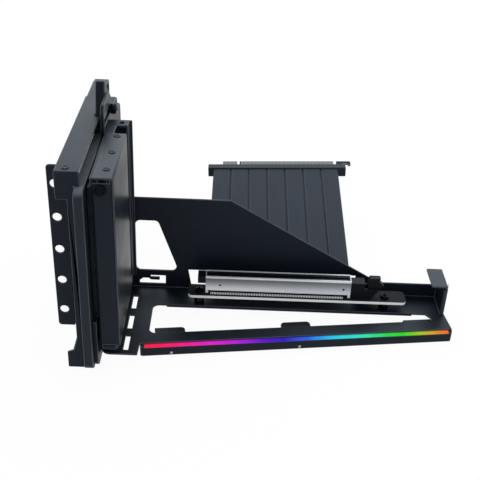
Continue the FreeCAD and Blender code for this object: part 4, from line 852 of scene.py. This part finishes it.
class BRACKET_OT_screws(bpy.types.Operator):
    """Makes every screw with a domed head and its cross or round recess"""

    bl_idname = "bracket.screws"
    bl_label = "Make the screws"

    def execute(self, context):
        finish, detail = context.scene.bracket_finish, context.scene.bracket_detail
        metals = {
            "black": coat_material("black_screw", shade(finish.coat, 0.8), 0.40, grain=0.05, specular=0.18),
            "dull": coat_material("dull_screw", shade(finish.coat, 0.3), 0.30, grain=0.05, specular=0.08),
            "bright": drawn_steel_material("bright_screw", finish.steel),
        }
        for node, (axis, side, metal, drive) in SCREWS.items():
            clouds, faces, count = [], [], 0
            for solid in solids_of(node):
                points, quads = self.one(solid, axis, side, detail, drive)
                clouds.append(points.reshape(-1, 3))
                faces.append(quads + count)
                count += len(clouds[-1])
            put_piece(f"{node}_turned", np.concatenate(clouds), np.concatenate(faces), metals[metal],
                      body_of_node(node), (node,))
        paint(drawn_steel_material("small_bright_screw", shade(finish.steel, 0.5)), "light_screws")
        return {"FINISHED"}

    def one(self, solid, axis, side, detail, drive):
        """A screw to the measure of a solid, whose rim is its widest part and whose tip ends its shank."""
        low, high = solid.min(0), solid.max(0)
        middle = (low + high) / 2.0
        reach = np.linalg.norm(np.delete(solid - middle, axis, axis=1), axis=1)
        head_r = reach.max()
        rim = solid[reach > 0.98 * head_r][:, axis]
        tip, end = (low[axis], high[axis]) if side > 0 else (high[axis], low[axis])
        seat = middle.copy()
        seat[axis] = rim.min() if side > 0 else rim.max()
        shank_r = reach[np.abs(solid[:, axis] - tip) < NEAR].max()
        points, quads = screw_points(head_r, abs(end - seat[axis]), shank_r, abs(seat[axis] - tip),
                                     detail.recess, detail.recess_deep, drive)
        return on_axis(points, axis, side, seat), quads


class BRACKET_OT_knob(bpy.types.Operator):
    """Makes the fluted adjusting knob"""

    bl_idname = "bracket.knob"
    bl_label = "Make the knob"

    def execute(self, context):
        finish, detail = context.scene.bracket_finish, context.scene.bracket_detail
        low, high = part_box("adjust_knob")
        middle = (low + high) / 2.0
        radius = (high.z - low.z) / 2.0
        places = corners_of("adjust_knob")
        tip = places[np.abs(places[:, 0] - low.x) < NEAR]
        shank_r = np.ptp(tip[:, 2]) / 2.0
        rim = places[np.abs(places[:, 2] - middle.z) > 0.9 * radius]
        seat = rim[:, 0].min()
        points, faces = knob_points(radius, high.x - seat, shank_r, seat - low.x, detail.flutes)
        points = on_axis(points, 0, 1, (seat, middle.y, middle.z))
        black = coat_material("knob_black", shade(finish.coat, 0.4), 0.30, grain=0.05, specular=0.14)
        put_piece("knob_fluted", points, faces, black,
                  body_of_node("adjust_knob"), ("adjust_knob",))
        return {"FINISHED"}


class BRACKET_OT_stage(bpy.types.Operator):
    """Sets the floor, the light and the camera"""

    bl_idname = "bracket.stage"
    bl_label = "Set the stage"

    def execute(self, context):
        stage = context.scene.bracket_stage
        self.floor(context.scene, stage)
        self.world(context.scene, stage)
        self.lamps(context.scene, stage)
        self.camera(context.scene, stage)
        context.scene.view_settings.view_transform = "Standard"
        return {"FINISHED"}

    def floor(self, scene, stage):
        """A level square grid under the object."""
        line = np.linspace(-FLOOR_HALF, FLOOR_HALF, FLOOR_LINES)
        u, v = np.meshgrid(line, line, indexing="ij")
        points = np.stack([u, v, np.full_like(u, CAD_BOX[0].z - FLOOR_DROP)], -1).reshape(-1, 3)
        quads = grid_faces(FLOOR_LINES, FLOOR_LINES, False)[:, ::-1]
        mesh = bpy.data.meshes.new("floor")
        mesh.from_pydata(points.tolist(), [], quads.tolist())
        n = Nodes("pale_floor")
        tone = n.noise(n.place, scale=3.0)
        n.surface(n.mix(tone, shade(stage.floor, 0.99), shade(stage.floor, 1.01)), 0.9)
        n.set(Specular_IOR_Level=0.0)
        self.whiten(n, stage.pale)
        mesh.materials.append(n.material)
        floor = bpy.data.objects.new("floor", mesh)
        scene.collection.objects.link(floor)

    def whiten(self, n, pale):
        """Lets the eye, gloss and glass see the floor mostly as plain white, with a faint shadow left."""
        both = n.add("ShaderNodeMixShader")
        n.feed(n.math("MULTIPLY", seen_ray(n.tree), pale), both.inputs[0])
        n.feed(n.shader.outputs[0], both.inputs[1])
        n.feed(n.add("ShaderNodeEmission").outputs[0], both.inputs[2])
        n.feed(both.outputs[0], n.tree.nodes["Material Output"].inputs["Surface"])

    def world(self, scene, stage):
        """Even light all round, which the eye, gloss and glass see as plain white."""
        world = bpy.data.worlds.new("studio")
        world.use_nodes = True
        tree = world.node_tree
        level = tree.nodes.new("ShaderNodeMapRange")
        level.inputs["To Min"].default_value = stage.world
        level.inputs["To Max"].default_value = 1.0
        back = tree.nodes["Background"]
        back.inputs["Color"].default_value = (1.0, 1.0, 1.0, 1.0)
        tree.links.new(seen_ray(tree), level.inputs["Value"])
        tree.links.new(level.outputs["Result"], back.inputs["Strength"])
        scene.world = world

    def lamps(self, scene, stage):
        """A large soft lamp above and behind, and a small one in front."""
        for name, (place, aim, size, power) in LAMPS.items():
            data = bpy.data.lights.new(name, "AREA")
            data.energy = stage.key * power
            data.color = COOL[:3]
            data.shape = "RECTANGLE"
            data.size, data.size_y = size
            lamp = bpy.data.objects.new(name, data)
            lamp.location = place
            lamp.rotation_euler = (Vector(aim) - Vector(place)).to_track_quat("-Z", "Y").to_euler()
            scene.collection.objects.link(lamp)

    def camera(self, scene, stage):
        """The camera, turned to its right and its line of sight."""
        data = bpy.data.cameras.new("camera")
        data.lens = stage.lens
        data.sensor_width = 36.0
        data.clip_start = 0.01
        right = Vector(CAMERA_RIGHT).normalized()
        up = right.cross(Vector(CAMERA_AHEAD)).normalized()
        ahead = up.cross(right)
        turn = Matrix((right, up, -ahead)).transposed().to_4x4()
        camera = bpy.data.objects.new("camera", data)
        camera.matrix_world = Matrix.Translation(Vector(stage.eye)) @ turn
        scene.collection.objects.link(camera)
        scene.camera = camera


class BRACKET_PT_panel(bpy.types.Panel):
    """Lists the bracket's finishing steps and their values"""

    bl_idname = "BRACKET_PT_panel"
    bl_label = "Upright card bracket"
    bl_space_type = "VIEW_3D"
    bl_region_type = "UI"
    bl_category = "Bracket"

    def draw(self, context):
        scene = context.scene
        column = self.layout.column()
        for step in STEPS:
            column.operator(step.bl_idname)
        for group in (scene.bracket_finish, scene.bracket_detail, scene.bracket_stage):
            part = self.layout.column()
            for name in group.__annotations__:
                part.prop(group, name)


STEPS = (
    BRACKET_OT_coat, BRACKET_OT_mould, BRACKET_OT_riser, BRACKET_OT_ribbon, BRACKET_OT_plug,
    BRACKET_OT_light, BRACKET_OT_screws, BRACKET_OT_knob, BRACKET_OT_stage,
)
CLASSES = (BracketFinish, BracketDetail, BracketStage, *STEPS, BRACKET_PT_panel)


def register():
    for item in CLASSES:
        bpy.utils.register_class(item)
    bpy.types.Scene.bracket_finish = bpy.props.PointerProperty(type=BracketFinish)
    bpy.types.Scene.bracket_detail = bpy.props.PointerProperty(type=BracketDetail)
    bpy.types.Scene.bracket_stage = bpy.props.PointerProperty(type=BracketStage)


def unregister():
    del bpy.types.Scene.bracket_stage
    del bpy.types.Scene.bracket_detail
    del bpy.types.Scene.bracket_finish
    for item in reversed(CLASSES):
        bpy.utils.unregister_class(item)


def main():
    """Dresses the bracket."""
    register()
    bpy.ops.bracket.coat()
    bpy.ops.bracket.mould()
    bpy.ops.bracket.riser()
    bpy.ops.bracket.ribbon()
    bpy.ops.bracket.plug()
    bpy.ops.bracket.light()
    bpy.ops.bracket.screws()
    bpy.ops.bracket.knob()
    bpy.ops.bracket.stage()


if __name__ == "__main__":
    main()
